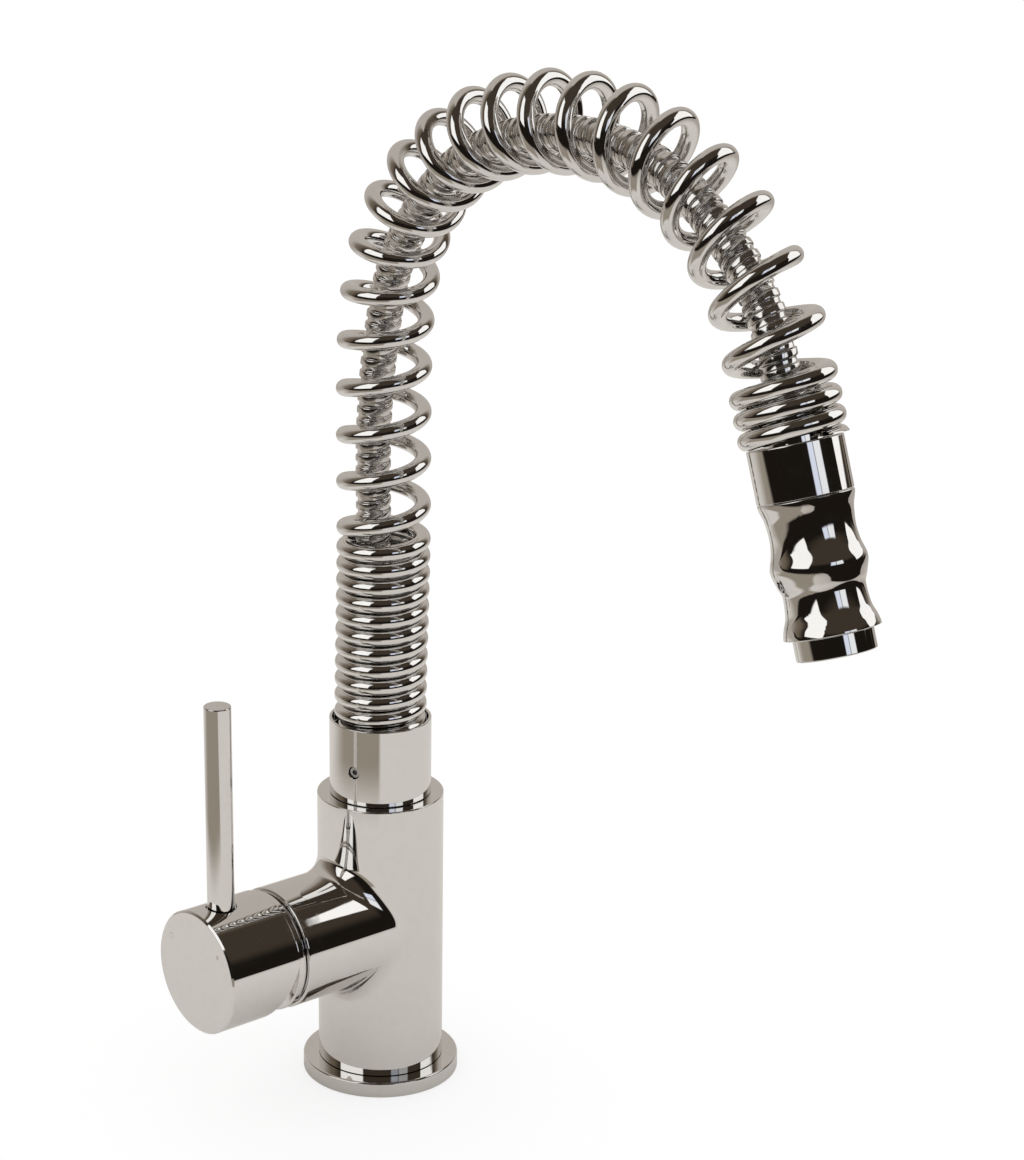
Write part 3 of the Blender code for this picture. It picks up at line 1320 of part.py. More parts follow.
    screw_depth = GRIP_LENGTH * GRIP_SCREW_PLACE_SHARE
    frame = spray @ radial_frame(GRIP_SCREW_AZIMUTH, top - screw_depth)
    skin = grip_radius(screw_depth)
    made = round_cutter(
        "grip screw cut",
        GRIP_SCREW_RADIUS + SEAT_GAP,
        GRIP_BORE * 0.5,
        skin + CUT_OVERRUN,
        frame,
        TINY_STEPS,
        spray_axis,
    )
    boolean(grip, made)
    head = skin - GRIP_SCREW_INSET
    inner = INNER_TUBE_RADIUS + SEAT_GAP
    profile = [
        (0.0, inner),
        (GRIP_SCREW_RADIUS, inner),
        (GRIP_SCREW_RADIUS, head),
        (GRIP_SCREW_RADIUS * HEX_SHARE, head),
        (0.0, head - GRIP_SCREW_SINK),
    ]
    turned("grip_screw", profile, TINY_STEPS, steel("grip_screw"), frame, spray_axis)
    return nozzle_low


def main():
    for ob in list(bpy.data.objects):
        bpy.data.objects.remove(ob, do_unlink=True)
    turn_axis = axis_empty("turn axis", BRANCH @ shift(0.0, 0.0, BRANCH_LENGTH), None)
    lift_axis = axis_empty("lift axis", BRANCH @ shift(0.0, 0.0, PIVOT), turn_axis)
    swivel_axis = axis_empty("swivel axis", shift(0.0, 0.0, BODY_TOP), None)
    crown = ROUTE_LENGTH * FLEX_PLACE_SHARE
    at = on_route(np.array([crown]), np.zeros(1), np.zeros(1))[0]
    flex_axis = axis_empty("flex axis", shift(*at), swivel_axis)
    end = on_route(np.array([ROUTE_LENGTH]), np.zeros(1), np.zeros(1))[0]
    lean = math.pi - float(ROUTE_HEADING[-1])
    spray = shift(*end) @ Matrix.Rotation(-lean, 4, "X")
    spray_axis = axis_empty("spray axis", spray @ shift(0.0, 0.0, -FERRULE_LENGTH), flex_axis)

    make_base()
    make_body()
    make_cartridge(turn_axis, lift_axis)
    make_cover_ring()
    make_handle(lift_axis)
    make_outlet()
    start = make_collar(swivel_axis)
    make_spring(spray, swivel_axis)
    make_hose(start, swivel_axis)
    nozzle_low = make_spray(spray, flex_axis, spray_axis)

    tip = spray @ Vector((0.0, 0.0, nozzle_low))
    down = spray.to_3x3() @ Vector((0.0, 0.0, -1.0))
    print("flex axis at", [round(v, 6) for v in at])
    print("spray top at", [round(v, 6) for v in end], "down", [round(v, 6) for v in down])
    print("nozzle tip at", [round(v, 6) for v in tip], "spring seat", round(SPRING_SEAT, 6))
    print("arch top", round(float(ROUTE_HEIGHT.max()), 6))


main()
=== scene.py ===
# %% [markdown]
# # A flexible kitchen mixer tap in Blender
# The engineering model comes first and is loaded as it is: every solid, joint and size is fixed.
# The cells below dress it. Each visible piece gets a fine surface that is worked out with numpy, in
# the place of its faceted solid, and every piece gets a procedural finish. Polished chrome shows
# nothing but its surroundings, so the surfaces carry exact normals and the studio gets its own cells.

import json
import math

import bpy
import numpy as np
from mathutils import Matrix, Vector
from mathutils.geometry import tessellate_polygon


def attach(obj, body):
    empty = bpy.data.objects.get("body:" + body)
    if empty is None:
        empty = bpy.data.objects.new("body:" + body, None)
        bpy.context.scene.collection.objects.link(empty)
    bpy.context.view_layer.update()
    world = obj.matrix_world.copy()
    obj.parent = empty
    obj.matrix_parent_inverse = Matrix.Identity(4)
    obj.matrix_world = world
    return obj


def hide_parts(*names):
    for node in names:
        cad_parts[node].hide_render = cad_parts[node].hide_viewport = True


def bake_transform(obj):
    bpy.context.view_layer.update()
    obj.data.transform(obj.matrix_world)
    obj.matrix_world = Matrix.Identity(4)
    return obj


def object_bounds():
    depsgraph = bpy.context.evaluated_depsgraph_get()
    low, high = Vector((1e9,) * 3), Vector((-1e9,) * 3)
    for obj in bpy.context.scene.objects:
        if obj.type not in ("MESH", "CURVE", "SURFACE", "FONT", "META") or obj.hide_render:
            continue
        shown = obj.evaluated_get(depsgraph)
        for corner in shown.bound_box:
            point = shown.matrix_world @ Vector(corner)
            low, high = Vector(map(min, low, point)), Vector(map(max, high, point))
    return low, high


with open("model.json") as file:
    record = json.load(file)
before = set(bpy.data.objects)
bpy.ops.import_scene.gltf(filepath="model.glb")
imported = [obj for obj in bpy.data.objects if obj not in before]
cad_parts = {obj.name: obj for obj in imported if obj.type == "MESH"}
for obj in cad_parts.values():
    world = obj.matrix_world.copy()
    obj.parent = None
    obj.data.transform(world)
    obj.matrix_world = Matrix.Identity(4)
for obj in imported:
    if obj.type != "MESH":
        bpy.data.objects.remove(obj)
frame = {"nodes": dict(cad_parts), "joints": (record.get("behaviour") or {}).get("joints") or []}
cad_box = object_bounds()
joints = {joint["name"]: joint for joint in frame["joints"]}

# %% [markdown]
# ## Where the sizes come from
# A tap is a stack of turned parts on three axes: the body's, the branch's and the hand spray's.
# Each axis becomes a small frame, a centre and three directions. The spray's is read from its
# swivel joint, so it always agrees with the model. Lengths are in millimetres until a piece is
# stitched into a mesh, which turns them into the scene's metres.

# %% The three axes
MM = 0.001
UP = np.array([0.0, 0.0, 1.0])
SIDEWAYS = np.array([[1.0, 0.0, 0.0]])


def unit(rows):
    """Directions of length one, along the last axis."""
    return rows / np.linalg.norm(rows, axis=-1, keepdims=True)


def axes(centre, x, z):
    """A centre and three directions at right angles, of which x and z are given."""
    x, z = unit(np.array(x, float)), unit(np.array(z, float))
    return np.array(centre, float), np.stack([x, np.cross(z, x), z])


def placed(local, at):
    """Points from a frame's own numbers into the scene: the centre and their sum along the axes."""
    return at[0] + local @ at[1]


SEAT_GAP = 0.3
FERRULE_LENGTH = 17.0
BRANCH_HEIGHT = 64.0
BODY = axes((0, 0, 0), (1, 0, 0), UP)
BRANCH = axes((0, 0, BRANCH_HEIGHT), UP, (-1, 0, 0))
spray_down = np.array(joints["spray_swivel"]["axis"])
spray_top = np.array(joints["spray_swivel"]["pos_m"]) / MM - FERRULE_LENGTH * spray_down
SPRAY = axes(spray_top, (1, 0, 0), -spray_down)
print("spray starts at", np.round(spray_top, 1), "mm and points", np.round(spray_down, 3))

# %% [markdown]
# ## Surfaces with exact normals
# A polished surface is read from its reflections, and these follow the normals. Averaged normals
# bend the picture beside every edge, so each patch here brings the normals of its own formula.
# Patches are laid side by side, points that meet are made one, and each face corner keeps the
# normal of its patch. That gives closed meshes with crisp and with soft edges alike. A round wire
# stands a tenth of a millimetre proud of the facets it replaces, so points stop at the model's box.

# %% Stitching patches into a mesh
MERGE = 1e-3
GRID_SHIFT = 0.37


def grid_patch(points, normals, wrap=False):
    """Four-sided faces between the rows and columns of a grid of points, as corner arrays."""
    if wrap:
        points = np.concatenate([points, points[:, :1]], axis=1)
        normals = np.concatenate([normals, normals[:, :1]], axis=1)

    def corners(a):
        return np.stack([a[:-1, :-1], a[:-1, 1:], a[1:, 1:], a[1:, :-1]], axis=2).reshape(-1, 4, 3)

    places, facing = corners(points), corners(normals)
    turn = np.cross(places[:, 2] - places[:, 0], places[:, 3] - places[:, 1])
    if np.einsum("ij,ij->", turn, facing.mean(axis=1)) < 0.0:
        places, facing = places[:, ::-1], facing[:, ::-1]
    return places, facing


def patch_at(local, facing, at, wrap=False):
    """A grid patch whose points and normals are given in a frame's own numbers."""
    return grid_patch(placed(local, at), facing @ at[1], wrap)


def flat_patch(loops, normal):
    """A flat face with holes: the loops' points cut into triangles, all with one normal."""
    points = np.concatenate(loops)
    triangles = np.array(tessellate_polygon([[Vector(p) for p in loop] for loop in loops]))
    places = points[triangles]
    turn = np.cross(places[:, 1] - places[:, 0], places[:, 2] - places[:, 0])
    flip = turn @ normal < 0.0
    places[flip] = places[flip][:, ::-1]
    places = np.concatenate([places, places[:, 2:]], axis=1)
    return places, np.broadcast_to(normal, places.shape).copy()


def linked(name, data):
    """A new object in the scene, at the origin."""
    piece = bpy.data.objects.new(name, data)
    bpy.context.scene.collection.objects.link(piece)
    return piece


def surface(name, points, faces):
    """A new object with a mesh of points and faces."""
    mesh = bpy.data.meshes.new(name)
    mesh.from_pydata(points, [], faces)
    return linked(name, mesh)


def stitched(name, patches, body, *nodes):
    """One mesh from patches. Corners within a micron become one point, and keep their normals."""
    places = np.concatenate([patch[0] for patch in patches])
    facing = np.concatenate([patch[1] for patch in patches])
    keys = np.round(places.reshape(-1, 3) / MERGE + GRID_SHIFT).astype(np.int64)
    _, first, index = np.unique(keys, axis=0, return_index=True, return_inverse=True)
    points = np.clip(places.reshape(-1, 3)[first] * MM, *cad_box)
    index = index.reshape(-1, 4)
    same = index == np.roll(index, -1, axis=1)
    whole = ~same.any(axis=1)
    three = same.sum(axis=1) == 1
    keep = ~same[three]
    quads, triangles = index[whole], index[three][keep].reshape(-1, 3)
    normals = np.concatenate([facing[whole].reshape(-1, 3), facing[three][keep]])
    piece = surface(name, points.tolist(), quads.tolist() + triangles.tolist())
    piece.data.shade_smooth()
    piece.data.normals_split_custom_set(normals.tolist())
    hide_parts(*nodes)
    if body:
        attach(piece, body)
    print(f"{name}: {len(quads) * 2 + len(triangles)} triangles")
    return piece


# %% [markdown]
# ## Turned outlines
# On a lathe, the outline is everything. An outline here is a row of corners (radius, height, round):
# each round is an arc that touches both sides, so the normal runs on without a jump, and a corner
# with no round stays sharp. A corner marked SMOOTH lies on a free curve.

# %% Outlines and turned patches
SMOOTH = -1.0
ARC_STEPS = 6
LEAST, STRAIGHT = 1e-12, 1e-6


def full_circle(steps):
    """Even angles once round."""
    return np.arange(steps) * 2.0 * math.pi / steps


def circle(radius, angles, z=0.0, x=0.0, y=0.0):
    """(x + r cos a, y + r sin a, z) for numbers, rows or grids of them."""
    return np.stack([x + radius * np.cos(angles), y + radius * np.sin(angles), z + 0.0 * angles], -1)


def outline(corners, closed=False):
    """Points and normals along corners. An arc's centre lies on the corner's bisector."""
    rows = np.array([(*corner, 0.0)[:3] for corner in corners], float)
    spots, rounds = rows[:, :2], rows[:, 2]
    leaving = np.roll(spots, -1, axis=0) - spots
    leaving /= np.maximum(np.linalg.norm(leaving, axis=1, keepdims=True), LEAST)
    coming = np.roll(leaving, 1, axis=0)
    if not closed:
        coming[0], leaving[-1] = leaving[0], leaving[-2]
    points, normals = [], []
    for spot, size, come, leave in zip(spots, rounds, coming, leaving):
        side_a, side_b = np.array([come[1], -come[0]]), np.array([leave[1], -leave[0]])
        turn = math.atan2(come[0] * leave[1] - come[1] * leave[0], come @ leave)
        if size > 0.0 and abs(turn) > STRAIGHT:
            arm = side_a * math.copysign(size, turn)
            centre = spot - come * size * math.tan(abs(turn) / 2.0) - arm
            for step in np.linspace(0.0, turn, ARC_STEPS + 1):
                c, s = math.cos(step), math.sin(step)
                spin = np.array([[c, s], [-s, c]])
                points.append(centre + arm @ spin)
                normals.append(side_a @ spin)
        elif size == SMOOTH:
            points.append(spot)
            normals.append(unit(side_a + side_b))
        else:
            points += [spot, spot]
            normals += [side_a, side_b]
    points, normals = np.array(points), np.array(normals)
    if closed:
        points = np.concatenate([points, points[:1]])
        normals = np.concatenate([normals, normals[:1]])
    ring = np.concatenate([points, points[:1]])
    area = np.sum(ring[:-1, 0] * ring[1:, 1] - ring[1:, 0] * ring[:-1, 1])
    return points, normals if area > 0.0 else -normals


def open_outline(corners, index, column, sign=1.0, part=slice(None)):
    """A part of an open outline. One normal's side is known, and all of them are turned with it."""
    points, normals = outline(corners)
    return points[part], normals[part] * math.copysign(1.0, normals[index, column] * sign)


def around(line, at, angles=None, steps=192):
    """Turns an outline: (r cos a, r sin a, height) for every angle, and its normals likewise."""
    wrap = angles is None
    angles = full_circle(steps) if wrap else angles
    points, normals = (circle(rows[:, :1], angles, rows[:, 1:]) for rows in line)
    return patch_at(points, normals, at, wrap)


def turned(name, corners, at, body, *nodes, closed=True, steps=192):
    """A whole turned piece from one outline."""
    return stitched(name, [around(outline(corners, closed), at, steps=steps)], body, *nodes)


# %% [markdown]
# ## A wall with something round on its side
# The branch grows out of the body, the rod stands in the knob, and small screws sit in the collar
# and in the grip. Each time a round form meets a turned wall from the side. The wall is unrolled, a
# rectangle is drawn round the meeting line, and straight lines from that line to the rectangle's
# edge carry the grid. Every point still lies on the wall, so its normal is exact. A wall's radius
# is a function of the height, and its slope tilts the normals.

# %% Pierced walls
SLOPE_STEP = 1e-3
WALL_ROWS, BACK_COLUMNS = 36, 57


def straight(radius):
    """A wall with the same radius at every height."""
    return lambda z: radius + 0.0 * z


def shares(count):
    """A column of even shares from 0 to 1."""
    return np.linspace(0.0, 1.0, count)[:, None]


def behind(half):
    """Angles of the wall's far side, between two edges of the pierced side."""
    return np.linspace(half, 2.0 * math.pi - half, BACK_COLUMNS)


def wall_patch(radius, theta, z, at, wrap=False, way=1.0):
    """Points of a turned wall at given azimuths and heights, facing out, or in where way is -1."""
    slope = (radius(z + SLOPE_STEP) - radius(z - SLOPE_STEP)) / (2.0 * SLOPE_STEP)
    return patch_at(circle(radius(z), theta, z), way * unit(circle(1.0, theta, -slope)), at, wrap)


def pierced_wall(radius, low, high, height, azimuth, half, at, edge, columns=72, rows=WALL_ROWS,
                 lines=12, ring=None, way=1.0):
    """The wall of a turned piece round a hole, and the angles that its neighbours share.

    edge(angle) gives the hole's radius at a ring angle, which starts upwards along the axis and
    turns towards growing azimuth. A point of ring radius q and ring angle a lies on the wall at
    azimuth + asin(q sin a / radius) and at height + q cos a.
    """
    size_there = radius(height)
    across = np.linspace(-half, half, columns + 1)
    upward = np.linspace(low, high, rows + 1)
    turn = np.concatenate([
        across, np.full(rows - 1, half), across[::-1], np.full(rows - 1, -half),
    ])
    level = np.concatenate([
        np.full(columns + 1, high), upward[::-1][1:-1], np.full(columns + 1, low), upward[1:-1],
    ])
    if ring is None:
        ring = np.arctan2(size_there * turn, level - height)
    size = edge(ring)
    edge_turn = np.arcsin(np.clip(size * np.sin(ring) / size_there, -1.0, 1.0))
    edge_level = height + size * np.cos(ring)
    theta = azimuth + edge_turn + (turn - edge_turn) * shares(lines + 1)
    z = edge_level + (level - edge_level) * shares(lines + 1)
    back_theta, back_z = np.meshgrid(azimuth + behind(half), upward)
    patches = [wall_patch(radius, theta, z, at, True, way),
               wall_patch(radius, back_theta, back_z, at, False, way)]
    angles = azimuth + np.concatenate([across, behind(half)[1:]])
    return patches, angles, ring, edge_turn + azimuth, edge_level


def sleeve(rows, azimuth, height, at):
    """The wall of a round hole: rings of points one behind the other, facing the hole's middle."""
    out = circle(1.0, azimuth)
    arm = rows[-1] - height * UP
    arm = unit(arm - (arm @ out)[:, None] * out)
    return patch_at(np.array(rows), np.broadcast_to(-arm, (len(rows), *arm.shape)), at, True)


def ring_at(ring, azimuth, height, depth, size):
    """A ring of points in a hole: at a depth from the axis, at each ring angle."""
    side = circle(1.0, azimuth + math.pi / 2.0)
    arm = np.sin(ring)[:, None] * side + np.cos(ring)[:, None] * UP
    return circle(depth, azimuth, height) + size * arm


# %% [markdown]
# ## Base flange and gasket
# The flange is a plain turned ring that covers the tap hole. Its edges are broken by hand on the
# buff, so they carry a soft round rather than a cut chamfer. The groove below holds the seal.

# %% Base flange
FLANGE_RADIUS, FLANGE_HEIGHT, FLANGE_BORE = 30.0, 6.0, 21.3
GROOVE_INNER, GROOVE_OUTER, GROOVE_TOP = 24.2, 28.2, 2.1
flange = turned(
    "flange_surface",
    [
        (FLANGE_BORE, 0.0), (GROOVE_INNER, 0.0), (GROOVE_INNER, GROOVE_TOP),
        (GROOVE_OUTER, GROOVE_TOP), (GROOVE_OUTER, 0.0), (FLANGE_RADIUS, 0.0, 0.3),
        (FLANGE_RADIUS, FLANGE_HEIGHT, 0.8), (FLANGE_BORE, FLANGE_HEIGHT),
    ],
    BODY, "mixer", "base_flange", steps=256,
)

# %% [markdown]
# ## Body and branch
# Body and branch are one casting. Where they meet, the founder's fillet is the envelope of a ball
# that rolls between both walls. At the sides the two cylinders are nearly the same size and meet at a
# flat angle, so the ball grows there, and the fillet keeps its width all round. The half-plane
# through the branch's axis cuts the wall in a part of an ellipse, so the ball's centre is found
# there by halving, for all angles at once.

# %% Body and branch
BODY_RADIUS = 24.0
BODY_LOW, BODY_TOP, BODY_EDGE = 6.3, 115.0, 0.5
BRANCH_RADIUS, BRANCH_LENGTH, BRANCH_LIP = 23.2, 51.8, 0.9
BRANCH_HALF = math.radians(112.0)
BLEND_RADIUS, BLEND_SIDE, BLEND_END = 5.5, 22.0, 36.0
THREAD_RADIUS, THREAD_DEPTH = 19.6, 7.8
CHAMBER_RADIUS, CHAMBER_FLOOR = 17.8, 25.5
SPIGOT_RADIUS = 21.0
OUTLET_RADIUS, OUTLET_FLOOR = 11.0, 103.7
SIDE_START = BRANCH_LENGTH - 6.0
WALL_SAMPLES, HALVINGS, FILLET_ROWS, SOCKET_SIDES = 3000, 40, 15, 40


def rolled_fillet(angle):
    """Ball radius, centre (ring radius, reach) and touching point on the wall, for each angle."""
    ball = BLEND_SIDE + (BLEND_RADIUS - BLEND_SIDE) * np.cos(angle) ** 2
    ring = BRANCH_RADIUS + ball
    sine = np.maximum(np.abs(np.sin(angle)), 1e-3)
    nearest = BRANCH_RADIUS * 0.6
    furthest = np.minimum(BODY_RADIUS / sine, BODY_RADIUS * 3.0)
    radii = nearest + (furthest - nearest)[:, None] * np.linspace(0, 1, WALL_SAMPLES)
    wall = np.sqrt(np.clip(BODY_RADIUS**2 - (radii * np.sin(angle)[:, None]) ** 2, 0.0, None))
    low = np.sqrt(np.clip(BODY_RADIUS**2 - (ring * np.sin(angle)) ** 2, 0.0, None))
    high = BODY_RADIUS + 2.0 * ball
    for _ in range(HALVINGS):
        centre = 0.5 * (low + high)
        gaps = np.hypot(radii - ring[:, None], wall - centre[:, None])
        away = gaps.min(axis=1) > ball
        low, high = np.where(away, low, centre), np.where(away, centre, high)
    rows, near = np.arange(len(angle)), gaps.argmin(axis=1)
    return ball, ring, centre, radii[rows, near], wall[rows, near]


wall, columns, ring_angles, _, _ = pierced_wall(
    straight(BODY_RADIUS), BODY_LOW, BODY_TOP - BODY_EDGE, BRANCH_HEIGHT, math.pi, BRANCH_HALF,
    BODY, lambda angle: rolled_fillet(angle)[3], columns=128, rows=72, lines=18,
)
ball, ring, centre, touch_r, touch_z = rolled_fillet(ring_angles)
swing = np.arctan2(touch_z - centre, touch_r - ring)
swing = np.where(swing > 0.0, swing - 2.0 * math.pi, swing)
arc = -math.pi + (swing + math.pi) * shares(FILLET_ROWS)
fillet_r = ring + ball * np.cos(arc)
fillet_z = centre + ball * np.sin(arc)
# The last row is put exactly on the body's wall, where the wall's own patch begins.
fillet_z[-1] = np.sqrt(BODY_RADIUS**2 - (fillet_r[-1] * np.sin(ring_angles)) ** 2)
up, across = np.cos(ring_angles), -np.sin(ring_angles)
fillet = np.stack([-fillet_z, fillet_r * across, BRANCH_HEIGHT + fillet_r * up], axis=2)
round_way = np.roll(fillet, -1, axis=1) - np.roll(fillet, 1, axis=1)
fillet_normals = unit(np.cross(np.gradient(fillet, axis=0), round_way))
radial = np.stack([np.zeros_like(up), across, up], axis=1)
if np.sum(fillet_normals[0] * radial) < 0.0:
    fillet_normals = -fillet_normals
fillet_normals[0] = radial
fillet_normals[-1] = unit(fillet[-1] * np.array([1.0, 1.0, 0.0]))
branch_side = np.stack([
    np.stack([np.full_like(up, -z), BRANCH_RADIUS * across, BRANCH_HEIGHT + BRANCH_RADIUS * up], 1)
    for z in np.linspace(SIDE_START, BLEND_END, 3)
] + [fillet[0]])

# The chamber's outline is open, so its side is set by the branch's outer wall.
thread_floor = BRANCH_LENGTH - THREAD_DEPTH
front = open_outline([
    (0.0, CHAMBER_FLOOR), (CHAMBER_RADIUS, CHAMBER_FLOOR), (CHAMBER_RADIUS, thread_floor),
    (THREAD_RADIUS, thread_floor), (THREAD_RADIUS, BRANCH_LENGTH),
    (BRANCH_RADIUS, BRANCH_LENGTH, BRANCH_LIP), (BRANCH_RADIUS, SIDE_START),
], -1, 0)
top = open_outline([
    (BODY_RADIUS, BODY_LOW), (BODY_RADIUS, BODY_TOP, BODY_EDGE), (OUTLET_RADIUS, BODY_TOP),
    (OUTLET_RADIUS, OUTLET_FLOOR), (0.0, OUTLET_FLOOR),
], -2, 1, part=slice(2, None))
foot = open_outline([(SPIGOT_RADIUS, 0.0), (SPIGOT_RADIUS, BODY_LOW), (BODY_RADIUS, BODY_LOW)], 1, 0)

# The underside: two sockets for the inlet hoses and one for the clamp's stud (x, y, radius, depth).
SOCKETS = [(-9.5, 5.0, 5.0, 14.0), (9.5, 5.0, 5.0, 14.0), (0.0, -12.5, 4.0, 16.0)]
socket_angles = full_circle(SOCKET_SIDES)
mouths = [circle(radius, socket_angles, 0.0, x, y) for x, y, radius, depth in SOCKETS]
floors = [circle(radius, socket_angles, depth, x, y) for x, y, radius, depth in SOCKETS]
inward = circle(-1.0, socket_angles)
body_patches = wall + [
    grid_patch(fillet, fillet_normals, True),
    grid_patch(branch_side, np.broadcast_to(radial, branch_side.shape), True),
    around(front, BRANCH, -np.append(ring_angles, ring_angles[0])),
    around(top, BODY, columns),
    around(foot, BODY, columns),
    flat_patch([circle(SPIGOT_RADIUS, columns[:-1])] + mouths, -UP),
]
for mouth, floor_ring in zip(mouths, floors):
    body_patches.append(grid_patch(np.stack([mouth, floor_ring]), np.stack([inward, inward]), True))
    body_patches.append(flat_patch([floor_ring], -UP))
body = stitched("body_surface", body_patches, "mixer", "mixer_body")

# %% [markdown]
# ## Cover ring
# Between branch and knob sits a domed ring. Its dome is a part of a ball about the lever's pivot, so
# the knob's cup can tilt over it. The dark line beside it in the photograph is the shadow groove.

# %% Cover ring
PIVOT = 48.0
RING_RADIUS, RING_FRONT, RING_HOLE = 22.8, 56.3, 14.0
RING_REAR, RING_SHOULDER, RING_NECK = 52.1, 53.6, 21.5
RING_EDGE, DOME_WALL = 5.15, 1.5
DOME_RADIUS = math.hypot(RING_RADIUS - RING_EDGE, RING_FRONT - PIVOT)
DOME_INNER = DOME_RADIUS - DOME_WALL


def ball_arc(radius, first, last, steps):
    """Corners along a part of a circle about the pivot, between two angles from the axis."""
    a = np.linspace(first, last, steps)
    return [(radius * math.sin(t), PIVOT + radius * math.cos(t), SMOOTH) for t in a]


outer_dome = ball_arc(DOME_RADIUS, math.acos((RING_FRONT - PIVOT) / DOME_RADIUS),
                      math.asin(RING_HOLE / DOME_RADIUS), 14)
inner_dome = ball_arc(DOME_INNER, math.asin(RING_HOLE / DOME_INNER),
                      math.acos((RING_SHOULDER - PIVOT) / DOME_INNER), 12)
ring_corners = [
    (THREAD_RADIUS, RING_REAR), (RING_NECK, RING_REAR, 0.2), (RING_NECK, RING_SHOULDER, 0.2),
    (RING_RADIUS, RING_SHOULDER, 0.35), (RING_RADIUS, RING_FRONT, 0.8),
    *outer_dome, *inner_dome, (THREAD_RADIUS, RING_SHOULDER),
]
cover_ring = turned("cover_ring_surface", ring_corners, BRANCH, "mixer", "cover_ring", steps=224)

# %% [markdown]
# ## Knob and rod
# The knob is a cup with a thin broken edge at its flat face. Its rear rim is cut on a slant below,
# because that side swings towards the ring when the lever is raised. The rod stands in a round seat
# a little wider than itself, which catches a dark line all round in the photograph.

# %% Knob
KNOB_RADIUS, KNOB_INNER = 23.5, 22.0
KNOB_REAR, KNOB_FRONT, KNOB_BEVEL = 56.6, 86.8, 0.7
KNOB_DEPTH = 12.0
KNOB_FLOOR = KNOB_REAR + KNOB_DEPTH
KNOB_SHOULDER = KNOB_FRONT - KNOB_BEVEL
KNOB_HALF = math.radians(80.0)
STEM_RADIUS, STEM_FLOOR = 4.5, 80.7
ROD_PLACE = 75.0
SEAT_RADIUS, SEAT_FLOOR, SEAT_EDGE, SEAT_LEAD = 5.55, 20.6, 0.25, 0.45
LIFT_MAX = math.radians(22.0)
SLANT_START = PIVOT + (KNOB_REAR - PIVOT + SEAT_GAP) / math.cos(LIFT_MAX)


def rear_edge(radius, angle):
    """Where the rim ends: the straight cut, or the slanted plane where that lies further out."""
    return np.maximum(KNOB_REAR, SLANT_START - radius * np.cos(angle) * math.tan(LIFT_MAX))


knob_wall, knob_columns, knob_ring, seat_theta, seat_z = pierced_wall(
    straight(KNOB_RADIUS), KNOB_REAR, KNOB_SHOULDER, ROD_PLACE, 0.0, KNOB_HALF, BRANCH,
    lambda angle: np.full_like(angle, SEAT_RADIUS + SEAT_EDGE), columns=96,
)
# The wall's far side is drawn again, from the slanted rim up to the shoulder.
back = np.tile(behind(KNOB_HALF), (WALL_ROWS + 1, 1))
rear = rear_edge(KNOB_RADIUS, back)
rear = rear + (KNOB_SHOULDER - rear) * shares(WALL_ROWS + 1)
knob_wall[1] = wall_patch(straight(KNOB_RADIUS), back, rear, BRANCH)
seat_rows = [circle(KNOB_RADIUS, seat_theta, seat_z)] + [
    ring_at(knob_ring, 0.0, ROD_PLACE, depth, SEAT_RADIUS)
    for depth in (KNOB_RADIUS - SEAT_LEAD, SEAT_FLOOR)
]
rear_outer = rear_edge(KNOB_RADIUS, knob_columns)
rim_outer = circle(KNOB_RADIUS, knob_columns, rear_outer)
rim_inner = circle(KNOB_INNER, knob_columns, rear_edge(KNOB_INNER, knob_columns))
cup_edge = circle(KNOB_INNER, knob_columns, KNOB_FLOOR)
stem_edge = circle(STEM_RADIUS, knob_columns, KNOB_FLOOR)
slant_normal = np.array([-math.sin(LIFT_MAX), 0.0, -math.cos(LIFT_MAX)])
rim_normal = np.where((rear_outer > KNOB_REAR + MERGE)[:, None], slant_normal, -UP)
face = open_outline([
    (KNOB_RADIUS, KNOB_REAR), (KNOB_RADIUS, KNOB_SHOULDER, 0.12),
    (KNOB_RADIUS - KNOB_BEVEL, KNOB_FRONT, 0.25), (0.0, KNOB_FRONT),
], -1, 1, part=slice(2, None))
# The wall ends where the face's first arc begins, so that row is put on it.
face[0][0, 1] = KNOB_SHOULDER
socket = open_outline([
    (STEM_RADIUS, KNOB_FLOOR), (STEM_RADIUS, STEM_FLOOR), (0.0, STEM_FLOOR),
], 1, 0, -1.0)
knob = stitched(
    "knob_surface",
    knob_wall + [
        sleeve(seat_rows, 0.0, ROD_PLACE, BRANCH),
        flat_patch([placed(seat_rows[-1], BRANCH)], UP),
        *(patch_at(np.stack(rows), np.broadcast_to(facing, (2, len(knob_columns), 3)), BRANCH)
          for rows, facing in (([rim_outer, rim_inner], rim_normal),
                               ([rim_inner, cup_edge], circle(-1.0, knob_columns)),
                               ([cup_edge, stem_edge], -UP))),
        around(face, BRANCH, knob_columns),
        around(socket, BRANCH, knob_columns),
    ],
    "handle",
    "handle_knob",
)

# %% Rod
ROD_RADIUS, ROD_TOP, STUD_RADIUS = 5.05, 102.0, 3.0
STUD_LOW, ROD_LOW = 13.9, 20.9
rod = turned(
    "rod_surface",
    [
        (0.0, STUD_LOW), (STUD_RADIUS, STUD_LOW), (STUD_RADIUS, ROD_LOW), (ROD_RADIUS, ROD_LOW, 1.6),
        (ROD_RADIUS, ROD_TOP, 0.5), (0.0, ROD_TOP),
    ],
    axes(placed(ROD_PLACE * UP, BRANCH), (1, 0, 0), UP),
    "handle", "lever_rod", closed=False, steps=96,
)

# %% [markdown]
# ## Spring collar
# The collar is a thin-walled cup that turns on the outlet. The spring stands in it, and a small
# grub screw in its side keeps it on. The screw's hole is pierced with the same method as the knob's.

